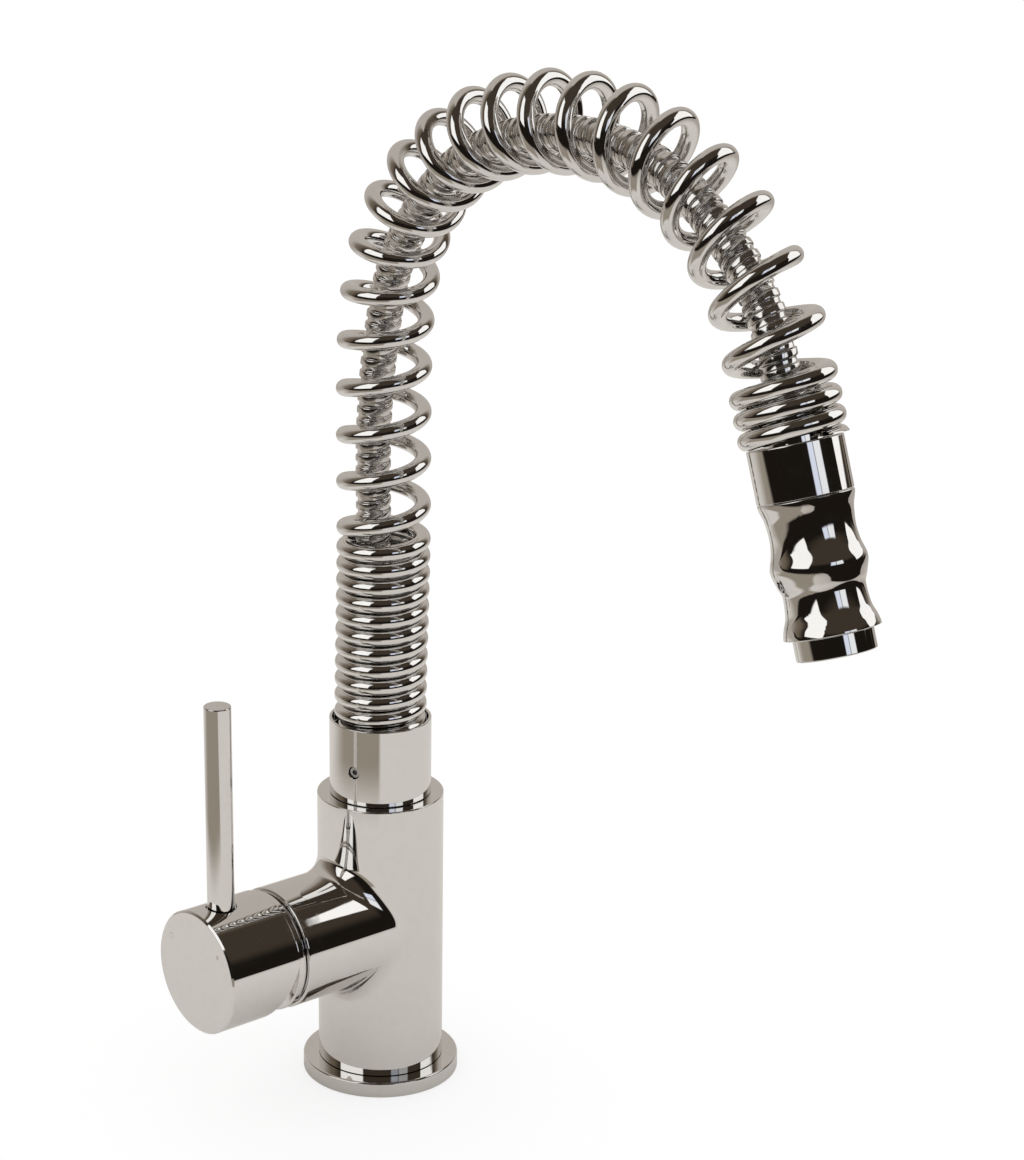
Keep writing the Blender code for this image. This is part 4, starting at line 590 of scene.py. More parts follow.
# %% Collar
COLLAR_RADIUS, COLLAR_LOW, COLLAR_TOP = 19.25, 115.3, 145.0
LOWER_ROUND, COLLAR_EDGE, COLLAR_MIDDLE = 0.2, 0.3, 120.0
CUP_RADIUS, SPRING_SEAT, CUP_UNDER = 18.15, 136.3, 134.3
COLLAR_BORE, BORE_LOW, HOSE_HOLE = 12.5, 117.6, 7.1
WASHER_BORE, WASHER_RADIUS, WASHER_TOP = 14.8, 18.3, 116.6
PLAIN_HEIGHT, SCREW_SHARE = 19.0, 0.684
SCREW_HEIGHT = BODY_TOP + PLAIN_HEIGHT * SCREW_SHARE
COLLAR_HOLE, HOLE_EDGE = 2.3, 0.15
SCREW_AZIMUTH = math.radians(200.0)
HOLE_HALF = math.radians(60.0)


def drilled(outer, inner, outer_span, inner_span, height, azimuth, hole, broken, at):
    """Two walls with one round hole right through them, and the angles that all rows share."""
    skin, angles, ring, theta, z = pierced_wall(
        outer, *outer_span, height, azimuth, HOLE_HALF, at,
        lambda a: np.full_like(a, hole + broken),
    )
    bore, _, _, bore_theta, bore_z = pierced_wall(
        inner, *inner_span, height, azimuth, HOLE_HALF, at,
        lambda a: np.full_like(a, hole), ring=ring, way=-1.0,
    )
    rim, mouth = circle(outer(z), theta, z), circle(inner(bore_z), bore_theta, bore_z)
    depth = float(np.min(np.hypot(rim[:, 0], rim[:, 1]))) - 2.0 * broken
    rows = [rim, ring_at(ring, azimuth, height, depth, hole), mouth]
    return skin + bore + [sleeve(rows, azimuth, height, at)], angles


collar_walls, collar_columns = drilled(
    straight(COLLAR_RADIUS), straight(COLLAR_BORE),
    (COLLAR_LOW + LOWER_ROUND, COLLAR_TOP - COLLAR_EDGE), (BORE_LOW, CUP_UNDER),
    SCREW_HEIGHT, SCREW_AZIMUTH, COLLAR_HOLE, HOLE_EDGE, BODY,
)
cup = outline([
    (COLLAR_RADIUS, COLLAR_MIDDLE), (COLLAR_RADIUS, COLLAR_TOP, COLLAR_EDGE),
    (CUP_RADIUS, COLLAR_TOP, COLLAR_EDGE), (CUP_RADIUS, SPRING_SEAT), (HOSE_HOLE, SPRING_SEAT),
    (HOSE_HOLE, CUP_UNDER), (COLLAR_BORE, CUP_UNDER), (COLLAR_BORE, BORE_LOW),
    (WASHER_BORE, BORE_LOW), (WASHER_BORE, WASHER_TOP), (WASHER_RADIUS, WASHER_TOP),
    (WASHER_RADIUS, COLLAR_LOW), (COLLAR_RADIUS, COLLAR_LOW, LOWER_ROUND),
], closed=True)
# The outline's outer wall and its bore are left out: the pierced walls stand in their places.
at_bore = np.flatnonzero(np.isclose(cup[0][:, 0], COLLAR_BORE))
collar = stitched(
    "collar_surface",
    collar_walls + [around((cup[0][part], cup[1][part]), BODY, collar_columns)
                    for part in (slice(2, at_bore[0] + 1), slice(at_bore[-1], len(cup[0]) - 1))],
    "spout",
    "spring_collar",
)

# %% [markdown]
# ## The line of the arch
# Spring and hose share one line. It is built as a spring maker would bend it: along its length, a
# few stations say where it heads, in degrees from straight up, and a smooth curve joins them. Sine
# and cosine of the heading are then summed along the way into reach and height.

# %% Route
ROUTE_LENGTH = 451.0
ROUTE_SAMPLES, MEAN_REACH = 903, 12
ROUTE = np.array([
    (0.0, 0.0), (0.0665, 1.9), (0.1286, 1.9), (0.1951, 0.0), (0.2882, 0.3), (0.3548, 5.6),
    (0.4035, 16.5), (0.4745, 40.5), (0.5543, 63.2), (0.6386, 81.4), (0.7140, 96.3),
    (0.8027, 121.0), (0.8825, 143.5), (0.9224, 156.0), (0.9446, 160.8), (1.0, 160.8),
])


def smooth_curve(stations, column, at):
    """A cubic through stations whose slopes are the harmonic means of their neighbours'."""
    s, v = stations[:, 0], stations[:, column]
    width, step = np.diff(s), np.diff(v) / np.diff(s)
    slope = np.zeros(len(s))
    same = step[:-1] * step[1:] > 0.0
    a, b = 2.0 * width[1:] + width[:-1], width[1:] + 2.0 * width[:-1]
    one = np.where(same, step[:-1], 1.0)
    two = np.where(same, step[1:], 1.0)
    slope[1:-1] = np.where(same, (a + b) / (a / one + b / two), 0.0)
    i = np.clip(np.searchsorted(s, at, side="right") - 1, 0, len(s) - 2)
    t = np.clip((at - s[i]) / width[i], 0.0, 1.0)
    return (
        v[i] * (1 + 2 * t) * (1 - t) ** 2
        + v[i + 1] * t**2 * (3 - 2 * t)
        + slope[i] * width[i] * t * (1 - t) ** 2
        - slope[i + 1] * width[i] * t**2 * (1 - t)
    )


route_s = np.linspace(0.0, ROUTE_LENGTH, ROUTE_SAMPLES)
heading = np.radians(smooth_curve(ROUTE, 1, route_s / ROUTE_LENGTH))
# A running mean rounds the curve's last corners off.
window = 2 * MEAN_REACH + 1
padded = np.pad(heading, MEAN_REACH, mode="edge")
heading = np.convolve(padded, np.full(window, 1.0 / window), mode="valid")
middle, step = 0.5 * (heading[1:] + heading[:-1]), np.diff(route_s)
route_reach = np.concatenate([[0.0], np.cumsum(np.sin(middle) * step)])
route_height = np.concatenate([[0.0], np.cumsum(np.cos(middle) * step)]) + SPRING_SEAT
print("arch top at", round(float(route_height.max()), 1), "mm")


def on_route(at, inward, aside):
    """Points beside the line: inward towards the arch's inner side, aside along +X."""
    turn = np.interp(at, route_s, heading)
    beyond = np.maximum(at - ROUTE_LENGTH, 0.0)
    reach = np.interp(at, route_s, route_reach) + inward * np.cos(turn) + beyond * np.sin(turn)
    height = np.interp(at, route_s, route_height) - inward * np.sin(turn) + beyond * np.cos(turn)
    return np.stack([aside + 0.0 * reach, -reach, height], axis=1)


def square_to(along, across):
    """Two directions square to a line, of which the first is as near to across as it can be."""
    across = unit(across - along * np.sum(across * along, axis=1)[:, None])
    return across, np.cross(along, across)


def fan(angles, across, third):
    """Directions round a line, at angles from the first of two directions square to it."""
    return np.cos(angles)[..., None] * across + np.sin(angles)[..., None] * third


# %% [markdown]
# ## Spring
# One wire of 6 mm, wound right-handed: close turns that stand in the collar, open turns over the
# arch, and close end turns on the spray. The pitch eases from one to the other, and the number of
# turns is the sum of 1/pitch along the way. The last turn is ground flat, so that it rests on the
# sleeve: there each circle of the tube keeps only its arc above the ground plane, and a flat band
# joins the arc's two ends.

# %% Spring
WIRE_RADIUS, COIL_RADIUS = 3.0, 14.4
CLOSE_PITCH, OPEN_PITCH, HANG_STRETCH = 6.48, 17.5, 0.6
WIRE_FIRST, WIRE_LAST = 3.25, ROUTE_LENGTH + 1.2
OPEN_FROM, OPEN_TO, HANG_FROM = 79.5, ROUTE_LENGTH - 15.0, ROUTE_LENGTH * 0.555
EASE_IN, EASE_OUT = 5.0, 12.0
WIND_START = math.radians(-187.0)
PITCH_SAMPLES, STEPS_A_TURN, WIRE_SIDES = 6001, 64, 30
LIP_IN, LIP_OUT = 0.07, 0.12


def eased(share):
    """0 below 0, 1 above 1, and 3t^2 - 2t^3 between them."""
    share = np.clip(share, 0.0, 1.0)
    return share * share * (3.0 - 2.0 * share)


dense = np.linspace(WIRE_FIRST, WIRE_LAST, PITCH_SAMPLES)
ease = eased((dense - OPEN_FROM) / EASE_IN) * eased((OPEN_TO - dense) / EASE_OUT)
hanging = np.clip((dense - HANG_FROM) / (OPEN_TO - HANG_FROM), 0.0, 1.0)
stretch = HANG_STRETCH * np.sin(math.pi * hanging)
per_length = 1.0 / (CLOSE_PITCH + (OPEN_PITCH + stretch - CLOSE_PITCH) * ease)
turns = np.cumsum(0.5 * (per_length[1:] + per_length[:-1]) * np.diff(dense))
turns = np.concatenate([[0.0], turns])
wire_turns = np.linspace(0.0, turns[-1], int(turns[-1] * STEPS_A_TURN))
wire_s = np.interp(wire_turns, turns, dense)
wind = WIND_START + 2.0 * math.pi * wire_turns
wire = on_route(wire_s, COIL_RADIUS * np.cos(wind), COIL_RADIUS * np.sin(wind))
zero = 0.0 * wire_s
along = unit(np.gradient(wire, axis=0))
across, third = square_to(along, wire - on_route(wire_s, zero, zero))
# The circle's height over the ground plane is h + r k cos(a - a0); its arc above it is kept.
towards_end = unit(on_route(wire_s + 0.1, zero, zero) - on_route(wire_s - 0.1, zero, zero))
lean_across, lean_third = (np.sum(way * towards_end, axis=1) for way in (across, third))
height = (wire - SPRAY[0]) @ SPRAY[1][2] - SEAT_GAP
share_above = height / (WIRE_RADIUS * np.hypot(lean_third, lean_across))
cut = np.where(wire_s > ROUTE_LENGTH - 2.0 * CLOSE_PITCH, share_above, 1.0)
cut = np.arccos(np.clip(cut, -1.0, 1.0))[:, None]
start = np.arctan2(lean_third, lean_across)[:, None]
angles = start + cut + (2.0 * math.pi - 2.0 * cut) * np.linspace(0.0, 1.0, WIRE_SIDES + 1)
facing = fan(angles, across[:, None], third[:, None])
tube = wire[:, None] + WIRE_RADIUS * facing
ground = np.flatnonzero(cut > 0.0)[0] - 1
share = np.linspace(0.0, 1.0, 4)[None, :, None]
flat = tube[ground:, -1:] + (tube[ground:, :1] - tube[ground:, -1:]) * share
# The first end is sawn square, with its edge broken by a tiny round. The last is left as ground.
face_way = -along[0]
ring, ring_facing = tube[0, :-1], facing[0, :-1]
lip = ring + (wire[0] - ring) * LIP_IN + face_way * LIP_OUT
spring = stitched("spring_wire", [
    grid_patch(tube, facing),
    grid_patch(flat, np.broadcast_to(-SPRAY[1][2], flat.shape)),
    grid_patch(np.stack([ring, lip]), np.stack([ring_facing, unit(ring_facing + face_way)]), True),
    flat_patch([lip], face_way),
    flat_patch([np.concatenate([tube[-1], flat[-1, 1:-1]])], along[-1]),
], None, "spring")
print("spring turns:", round(float(turns[-1]), 2))

# %% [markdown]
# ## Hose
# The hose is wound from a profiled metal strip whose edges lock into each other, so every wrap steps
# over the next one. The step runs as a screw line: its place along the hose grows by one pitch for
# each turn, and the grid is sheared by the same amount, so its rows lie exactly on the edges.

# %% Hose
HOSE_RADIUS, HOSE_BORE = 6.5, 3.6
HOSE_PITCH, HOSE_ROOM = 4.5, 4.95
HOSE_FIRST, HOSE_LAST = 3.1, ROUTE_LENGTH + 3.0
HOSE_SIDES, BORE_SIDES, BORE_RINGS = 40, 24, 160
SLOPE_SPAN = 0.004
# The sway: place along the line, then inward and aside as shares of the room in the spring.
SWAY = np.array([
    (0.0, 0.0, 0.0), (0.058, 0.0, 0.0), (0.155, -0.48, -0.53), (0.244, -0.56, -0.53),
    (0.377, 0.24, -0.28), (0.477, 0.79, 0.0), (0.665, 0.79, 0.12), (0.820, 0.69, 0.08),
    (0.936, 0.0, 0.0), (1.0, 0.0, 0.0),
])
# One wrap's section: place in the wrap, depth below the outer radius.
STRIP = np.array([
    (0.00, 0.10), (0.05, 0.02), (0.12, 0.0), (0.40, 0.0), (0.47, 0.04), (0.52, 0.16), (0.54, 0.55),
    (0.56, 0.68), (0.62, 0.72), (0.90, 0.72), (0.955, 0.66), (0.98, 0.45), (1.00, 0.10),
])


def hose_line(at):
    """The hose's middle: the arch's line plus its sway."""
    inward, aside = (HOSE_ROOM * smooth_curve(SWAY, column, at / ROUTE_LENGTH) for column in (1, 2))
    return on_route(at, inward, aside)


def strip_depth(place):
    """The strip's depth below the outer radius, by its place in the wrap."""
    return np.interp(place, STRIP[:, 0], STRIP[:, 1])


wraps = int((HOSE_LAST - HOSE_FIRST) / HOSE_PITCH) + 2
place = (np.arange(-1, wraps)[:, None] + STRIP[None, :-1, 0]).reshape(-1)
shear = np.arange(HOSE_SIDES + 1) / HOSE_SIDES
# Past the hose's ends the rows are held at the end, where the section is cut through.
grid_s = (HOSE_FIRST + HOSE_PITCH * (place[:, None] + shear)).reshape(-1)
grid_s = np.clip(grid_s, HOSE_FIRST, HOSE_LAST)
shear_there = np.tile(shear, len(place))
in_wrap = ((grid_s - HOSE_FIRST) / HOSE_PITCH - shear_there) % 1.0
slope = strip_depth((in_wrap + SLOPE_SPAN) % 1.0) - strip_depth((in_wrap - SLOPE_SPAN) % 1.0)
slope = slope / (2.0 * SLOPE_SPAN * HOSE_PITCH)
centre_line = hose_line(grid_s)
tangent = unit(hose_line(grid_s + 0.1) - centre_line)
arm = fan(shear_there * 2.0 * math.pi, *square_to(tangent, SIDEWAYS))
hose_points = centre_line + arm * (HOSE_RADIUS - strip_depth(in_wrap))[:, None]
# Where the section goes deeper along the hose, the normal leans the same way.
hose_normals = unit(arm + tangent * slope[:, None])
hose_points, hose_normals = (
    rows.reshape(len(place), HOSE_SIDES + 1, 3) for rows in (hose_points, hose_normals))
bore_line = hose_line(np.linspace(HOSE_FIRST, HOSE_LAST, BORE_RINGS))
bore_way = unit(np.gradient(bore_line, axis=0))
bore_across, bore_third = square_to(bore_way, SIDEWAYS)
bore_facing = fan(full_circle(BORE_SIDES), bore_across[:, None], bore_third[:, None])
bore = bore_line[:, None] + HOSE_BORE * bore_facing
hose_patches = [grid_patch(hose_points, hose_normals), grid_patch(bore, -bore_facing, True)]
for end, way in ((0, -bore_way[0]), (-1, bore_way[-1])):
    hose_patches.append(flat_patch([hose_points[end, :-1], bore[end]], way))
hose = stitched("hose_strip", hose_patches, None, "hose")

# %% [markdown]
# ## Hand spray
# Sleeve, grip and nozzle are turned. The grip's outline is a wave with two waists for the fingers,
# drawn as a smooth curve through ten stations, and it ends in a sharp shoulder over the nozzle.

# %% Spray sleeve, grip and nozzle
FERRULE_RADIUS, FERRULE_BORE, FERRULE_NECK, FERRULE_CUP = 15.35, 8.5, 9.9, 10.4
NECK_TOP, CUP_ROOF = 11.0, -7.5
ferrule = turned(
    "sleeve_surface",
    [
        (FERRULE_BORE, NECK_TOP, 0.2), (FERRULE_NECK, NECK_TOP, 0.4), (FERRULE_NECK, 0.0),
        (FERRULE_RADIUS, 0.0, 0.5), (FERRULE_RADIUS, -FERRULE_LENGTH, 0.15),
        (FERRULE_CUP, -FERRULE_LENGTH), (FERRULE_CUP, CUP_ROOF), (FERRULE_BORE, CUP_ROOF),
    ],
    SPRAY, "spray_holder", "spray_ferrule",
)
GRIP_RADIUS, GRIP_LENGTH = 15.5, 42.9
GRIP_TOP = -FERRULE_LENGTH - SEAT_GAP
GRIP_LOW = GRIP_TOP - GRIP_LENGTH
GRIP_WAIST, GRIP_WALL = 0.842, 1.75
GRIP_BORE = GRIP_RADIUS * GRIP_WAIST - GRIP_WALL
GRIP_THROAT, THROAT_DEPTH = 9.8, 5.0
THROAT_FLOOR = GRIP_TOP - THROAT_DEPTH
GRIP_SCREW, SCREW_WAY = GRIP_TOP - GRIP_LENGTH * 0.601, math.radians(160.0)
GRIP_HOLE, GRIP_HOLE_EDGE = 1.7, 0.1
TOP_ROUND, LOW_ROUND = 0.35, 0.25
GRIP_STEPS, GRIP_PASSES = 240, 8
GRIP = np.array([
    (0.0, 0.994), (0.131, 0.906), (0.261, 0.877), (0.364, 0.906), (0.494, 0.994),
    (0.611, 0.916), (0.690, GRIP_WAIST), (0.834, 0.871), (0.937, 0.968), (1.0, 1.0),
])
grip_size = GRIP_RADIUS * smooth_curve(GRIP, 1, np.linspace(0.0, 1.0, GRIP_STEPS + 1))
# A few light passes of a running mean take the last corners out of the curve's slope.
for _ in range(GRIP_PASSES):
    grip_size[1:-1] = 0.25 * grip_size[:-2] + 0.5 * grip_size[1:-1] + 0.25 * grip_size[2:]


def grip_wave(z):
    """The wave's radius at a height: a cubic through its four nearest stations."""
    at = np.clip((GRIP_TOP - z) / GRIP_LENGTH * GRIP_STEPS, 0.0, GRIP_STEPS - 0.001)
    i = at.astype(int)
    t = at - i
    p = [grip_size[np.clip(i + k, 0, GRIP_STEPS)] for k in (-1, 0, 1, 2)]
    square, cube = 2 * p[0] - 5 * p[1] + 4 * p[2] - p[3], 3 * (p[1] - p[2]) + p[3] - p[0]
    return p[1] + 0.5 * t * (p[2] - p[0] + t * (square + t * cube))


grip_walls, grip_columns = drilled(
    grip_wave, straight(GRIP_BORE), (GRIP_LOW + LOW_ROUND, GRIP_TOP - TOP_ROUND),
    (GRIP_LOW, THROAT_FLOOR), GRIP_SCREW, SCREW_WAY, GRIP_HOLE, GRIP_HOLE_EDGE, SPRAY,
)
upper_size, lower_size = grip_wave(GRIP_TOP - TOP_ROUND), grip_wave(GRIP_LOW + LOW_ROUND)
grip_top = open_outline([
    (upper_size, GRIP_TOP - 1.0), (upper_size, GRIP_TOP, TOP_ROUND), (GRIP_THROAT, GRIP_TOP),
    (GRIP_THROAT, THROAT_FLOOR), (GRIP_BORE, THROAT_FLOOR),
], 0, 0, part=slice(2, None))
grip_foot = open_outline([
    (GRIP_BORE, GRIP_LOW), (lower_size, GRIP_LOW, LOW_ROUND), (lower_size, GRIP_LOW + 1.0),
], -1, 0, part=slice(1, -2))
grip = stitched(
    "grip_surface",
    grip_walls + [around(line, SPRAY, grip_columns) for line in (grip_top, grip_foot)],
    "spray_head",
    "spray_grip",
)
NOZZLE_HEIGHT, NOZZLE_LIP, MOUTH_LIP = 6.9, 1.55, 1.0
NOZZLE_TOP = GRIP_LOW - SEAT_GAP
NOZZLE_LOW, NOZZLE_RADIUS = NOZZLE_TOP - NOZZLE_HEIGHT, GRIP_BORE + NOZZLE_LIP
SPIGOT_TOP, SEAL_TOP, SEAL_LOW = (NOZZLE_TOP + rise for rise in (8.0, 5.1, 2.9))
spigot = GRIP_BORE - SEAT_GAP
groove = spigot - 1.4
nozzle_bore = groove - 0.8
mouth = nozzle_bore - 1.2
nozzle = turned(
    "nozzle_surface",
    [
        (nozzle_bore, SPIGOT_TOP), (spigot, SPIGOT_TOP), (spigot, SEAL_TOP), (groove, SEAL_TOP),
        (groove, SEAL_LOW), (spigot, SEAL_LOW), (spigot, NOZZLE_TOP),
        (NOZZLE_RADIUS, NOZZLE_TOP, 0.2), (NOZZLE_RADIUS, NOZZLE_LOW, 0.5),
        (mouth, NOZZLE_LOW, 0.25), (mouth, NOZZLE_LOW + MOUTH_LIP),
        (nozzle_bore, NOZZLE_LOW + MOUTH_LIP),
    ],
    SPRAY, "spray_head", "nozzle_ring",
)

# %% [markdown]
# ## Spring and hose in place
# The engineering model gathers the arch's give in one hinge at its crown. Spring and hose are not
# blended across it here: each only has its placement baked into its points.

# %% Baking spring and hose in place
for piece in (spring, hose):
    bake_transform(piece)

# %% [markdown]
# ## Finishes
# Chrome plate is nearly a mirror. What makes it look real is small: a breath of haze that comes and
# goes, and a faint waviness left by the buffing wheel. These effects are node groups with named
# sockets, so each material mixes its own amount. The shader itself stays in the material.

# %% Node helpers
def group(name, scale, output):
    """A node group with a place and a scale going in, and its nodes for the two ends."""
    made = bpy.data.node_groups.new(name, "ShaderNodeTree")
    made.interface.new_socket("Vector", in_out="INPUT", socket_type="NodeSocketVector")
    size = made.interface.new_socket("Scale", in_out="INPUT", socket_type="NodeSocketFloat")
    size.default_value = scale
    made.interface.new_socket(output, in_out="OUTPUT", socket_type="NodeSocketFloat")
    return made, node(made, "NodeGroupInput").outputs, node(made, "NodeGroupOutput").inputs


def node(tree, kind, links=None, **settings):
    """Adds a node, sets its properties, and links or fills its inputs."""
    made = tree.nodes.new(kind if kind.startswith("Node") else f"ShaderNode{kind}")
    for key, value in settings.items():
        setattr(made, key, value)
    for key, value in (links or {}).items():
        socket = made.inputs[key]
        if isinstance(value, bpy.types.NodeSocket):
            tree.links.new(value, socket)
        else:
            socket.default_value = value
    return made


def maths(tree, operation, *values):
    """One sum of numbers and links."""
    return node(tree, "Math", dict(enumerate(values)), operation=operation).outputs[0]


def measured(tree, operation, *vectors):
    """A length or a distance, or how far one vector reaches along another."""
    return node(tree, "VectorMath", dict(enumerate(vectors)), operation=operation).outputs["Value"]


def product(tree, one, two):
    """Two numbers or links multiplied."""
    return maths(tree, "MULTIPLY", one, two)


def ramp(tree, value, low, high, first=0.0, last=1.0, kind="SMOOTHSTEP"):
    """Runs from one number to another as the value passes from low to high."""
    return node(tree, "MapRange", {"Value": value, "From Min": low, "From Max": high, "To Min": first,
                                   "To Max": last}, interpolation_type=kind).outputs["Result"]


def between(tree, value, low, high, soft):
    """1 from low to high and 0 outside, with soft edges."""
    return product(tree, ramp(tree, value, low - soft, low + soft),
                   ramp(tree, value, high + soft, high - soft))


def mixed(tree, factor, first, last):
    """Mixes two colours, or a link and a colour, by a factor."""
    made = node(tree, "Mix", {"Factor": factor}, data_type="RGBA")
    for index, colour in ((6, first), (7, last)):
        if isinstance(colour, bpy.types.NodeSocket):
            tree.links.new(colour, made.inputs[index])
        else:
            made.inputs[index].default_value = (*colour, 1.0)
    return made.outputs[2]


def noise(tree, place, scale, detail, roughness):
    """Clouds between 0 and 1 over the places that come in."""
    return node(tree, "TexNoise", {"Vector": place, "Scale": scale, "Detail": detail,
                                   "Roughness": roughness}).outputs["Fac"]


# Haze: two sizes of cloud, multiplied, give patches where the polish is slightly dull.
haze, given, result = group("Polish Haze", 60.0, "Haze")
wide = noise(haze, given["Vector"], given["Scale"], 3.0, 0.6)
fine = noise(haze, given["Vector"], product(haze, given["Scale"], 6.0), 2.0, 0.5)
haze.links.new(ramp(haze, product(haze, wide, fine), 0.18, 0.42), result["Haze"])

# Buffing: long, very low waves across the surface, as a height for a bump.
buff, given, result = group("Buffed Waves", 90.0, "Height")
buff.links.new(noise(buff, given["Vector"], given["Scale"], 2.0, 0.35), result["Height"])


def principled(name, colour, metallic, roughness, specular=0.5):
    """A new material with its Principled shader and the object's own coordinates."""
    made = bpy.data.materials.new(name)
    made.use_nodes = True
    tree = made.node_tree
    shader = tree.nodes["Principled BSDF"]
    shader.inputs["Base Color"].default_value = (*colour, 1.0)
    shader.inputs["Metallic"].default_value = metallic
    shader.inputs["Roughness"].default_value = roughness
    shader.inputs["Specular IOR Level"].default_value = specular
    return made, tree, shader, node(tree, "TexCoord").outputs["Object"]


def polish(tree, shader, where, low, high, scale, wave, wave_scale, depth):
    """Haze drives the roughness between two values, and buffing tilts the normal."""
    dull = node(tree, "Group", {"Vector": where, "Scale": scale}, node_tree=haze).outputs["Haze"]
    tree.links.new(ramp(tree, dull, 0.0, 1.0, low, high, "LINEAR"), shader.inputs["Roughness"])
    waves = node(tree, "Group", {"Vector": where, "Scale": wave_scale}, node_tree=buff)
    tilt = node(tree, "Bump", {"Height": waves.outputs["Height"], "Strength": wave,
                               "Distance": depth})
    tree.links.new(tilt.outputs["Normal"], shader.inputs["Normal"])
    return dull


def chrome(name, colour=(0.80, 0.79, 0.775), low=0.012, high=0.06, scale=60.0, wave=0.02,
           wave_scale=70.0):
    """Chrome plate, a shade darker where the haze lies."""
    made, tree, shader, where = principled(name, colour, 1.0, low)
    dull = polish(tree, shader, where, low, high, scale, wave, wave_scale, 0.001)
    tint = mixed(tree, dull, colour, [part * 0.975 for part in colour])
    tree.links.new(tint, shader.inputs["Base Color"])
    return made, tree, shader, where


def machined(name, colour, roughness, metallic=1.0, scale=400.0, bump=0.04):
    """A cut or moulded finish: fine noise in the roughness and in the normal."""
    made, tree, shader, where = principled(name, colour, metallic, roughness)
    polish(tree, shader, where, roughness * 0.75, min(roughness * 1.35, 1.0), scale * 0.3, bump,
           scale, 0.0005)
    return made


def wear(piece, material):
    """Gives a piece or a CAD node its finish."""
    if piece.material_slots:
        for slot in piece.material_slots:
            slot.material = material
    else:
        piece.data.materials.append(material)


chrome_body = chrome("chrome plate, body")[0]
for piece in (flange, body, cover_ring, rod, collar, ferrule, grip, nozzle):
    wear(piece, chrome_body)

# %% [markdown]
# ### The knob's two marks
# The face carries two small laser marks that show which way is cold and which is warm. They are
# plain signs here, a ring and a dot: circles about two places on the face, slightly darker and
# duller than the plate, worked out from the distance to those places.

# %% Knob chrome
MARK_COLD, MARK_WARM = (0.0, 0.0154, 0.0737), (0.0, -0.0137, 0.0750)
RING_OUTER, RING_INNER, DOT_RADIUS = 0.00125, 0.00095, 0.00085
MARK_EDGE, FACE_DEPTH = 0.00004, 0.0001
MARK_COLOUR, MARK_DULL = (0.62, 0.60, 0.57), 0.3
chrome_knob, tree, shader, where = chrome("chrome plate, knob")
parts = node(tree, "SeparateXYZ", {0: where}).outputs
on_disc = node(tree, "CombineXYZ", {"Y": parts["Y"], "Z": parts["Z"]}).outputs[0]


def within(place, radius):
    """1 on the face inside a circle about a place, and 0 outside."""
    away = measured(tree, "DISTANCE", on_disc, place)
    return ramp(tree, away, radius + MARK_EDGE, radius - MARK_EDGE, kind="LINEAR")


ring_mark = maths(tree, "SUBTRACT", within(MARK_COLD, RING_OUTER), within(MARK_COLD, RING_INNER))
marks = maths(tree, "MAXIMUM", ring_mark, within(MARK_WARM, DOT_RADIUS))
on_face = maths(tree, "LESS_THAN", parts["X"], -KNOB_FRONT * MM + FACE_DEPTH)
marks = product(tree, marks, on_face)
plate, dull = (shader.inputs[name].links[0].from_socket for name in ("Base Color", "Roughness"))
tree.links.new(mixed(tree, marks, plate, MARK_COLOUR), shader.inputs["Base Color"])
tree.links.new(maths(tree, "MULTIPLY_ADD", marks, MARK_DULL, dull), shader.inputs["Roughness"])
wear(knob, chrome_knob)

# %% [markdown]
# ### Wire, strip and the inner pieces
# The wire was drawn through a die before plating, and the hose strip was rolled, so both keep a
# livelier surface than the turned parts. Brass, rubber, ceramic and plastic pieces sit inside.

# %% Other finishes
wear(spring, chrome("chrome plate, wire", low=0.03, high=0.10, scale=140.0, wave=0.05,
                    wave_scale=260.0)[0])
wear(hose, chrome("polished steel strip", (0.78, 0.765, 0.745), low=0.09, high=0.20, scale=200.0,
                  wave=0.02, wave_scale=220.0)[0])
brass = machined("machined brass", (0.72, 0.53, 0.26), 0.28)
steel = machined("machined steel", (0.55, 0.55, 0.56), 0.25)
rubber = machined("black rubber", (0.03, 0.03, 0.03), 0.6, 0.0, 900.0, 0.15)
ceramic_plate = machined("lapped ceramic", (0.86, 0.85, 0.82), 0.2, 0.0, 700.0, 0.02)
white_plastic = machined("white plastic", (0.82, 0.82, 0.80), 0.4, 0.0, 600.0, 0.06)
grey_plastic = machined("grey plastic", (0.30, 0.30, 0.31), 0.42, 0.0, 600.0, 0.06)
inner_pieces = [(finish, name) for finish, names in (
    (rubber, "base_gasket cartridge_o_ring swivel_o_ring_lower swivel_o_ring_upper hose_washer"
             " nozzle_o_ring"),
    (white_plastic, "cartridge_base cartridge_shell slip_washer disc_slider spray_inner_tube"),
    (ceramic_plate, "ceramic_disc_fixed ceramic_disc_moving"),
    (brass, "cartridge_nut outlet_spigot cartridge_stem hose_lower_fitting hose_upper_fitting"),
    (steel, "stem_pin handle_grub_screw collar_grub_screw grip_screw"),
    (grey_plastic, "cartridge_turret aerator_insert"),
) for name in names.split()]
for finish, name in inner_pieces:
    wear(frame["nodes"][name], finish)
print("inner pieces with a finish:", len(inner_pieces))
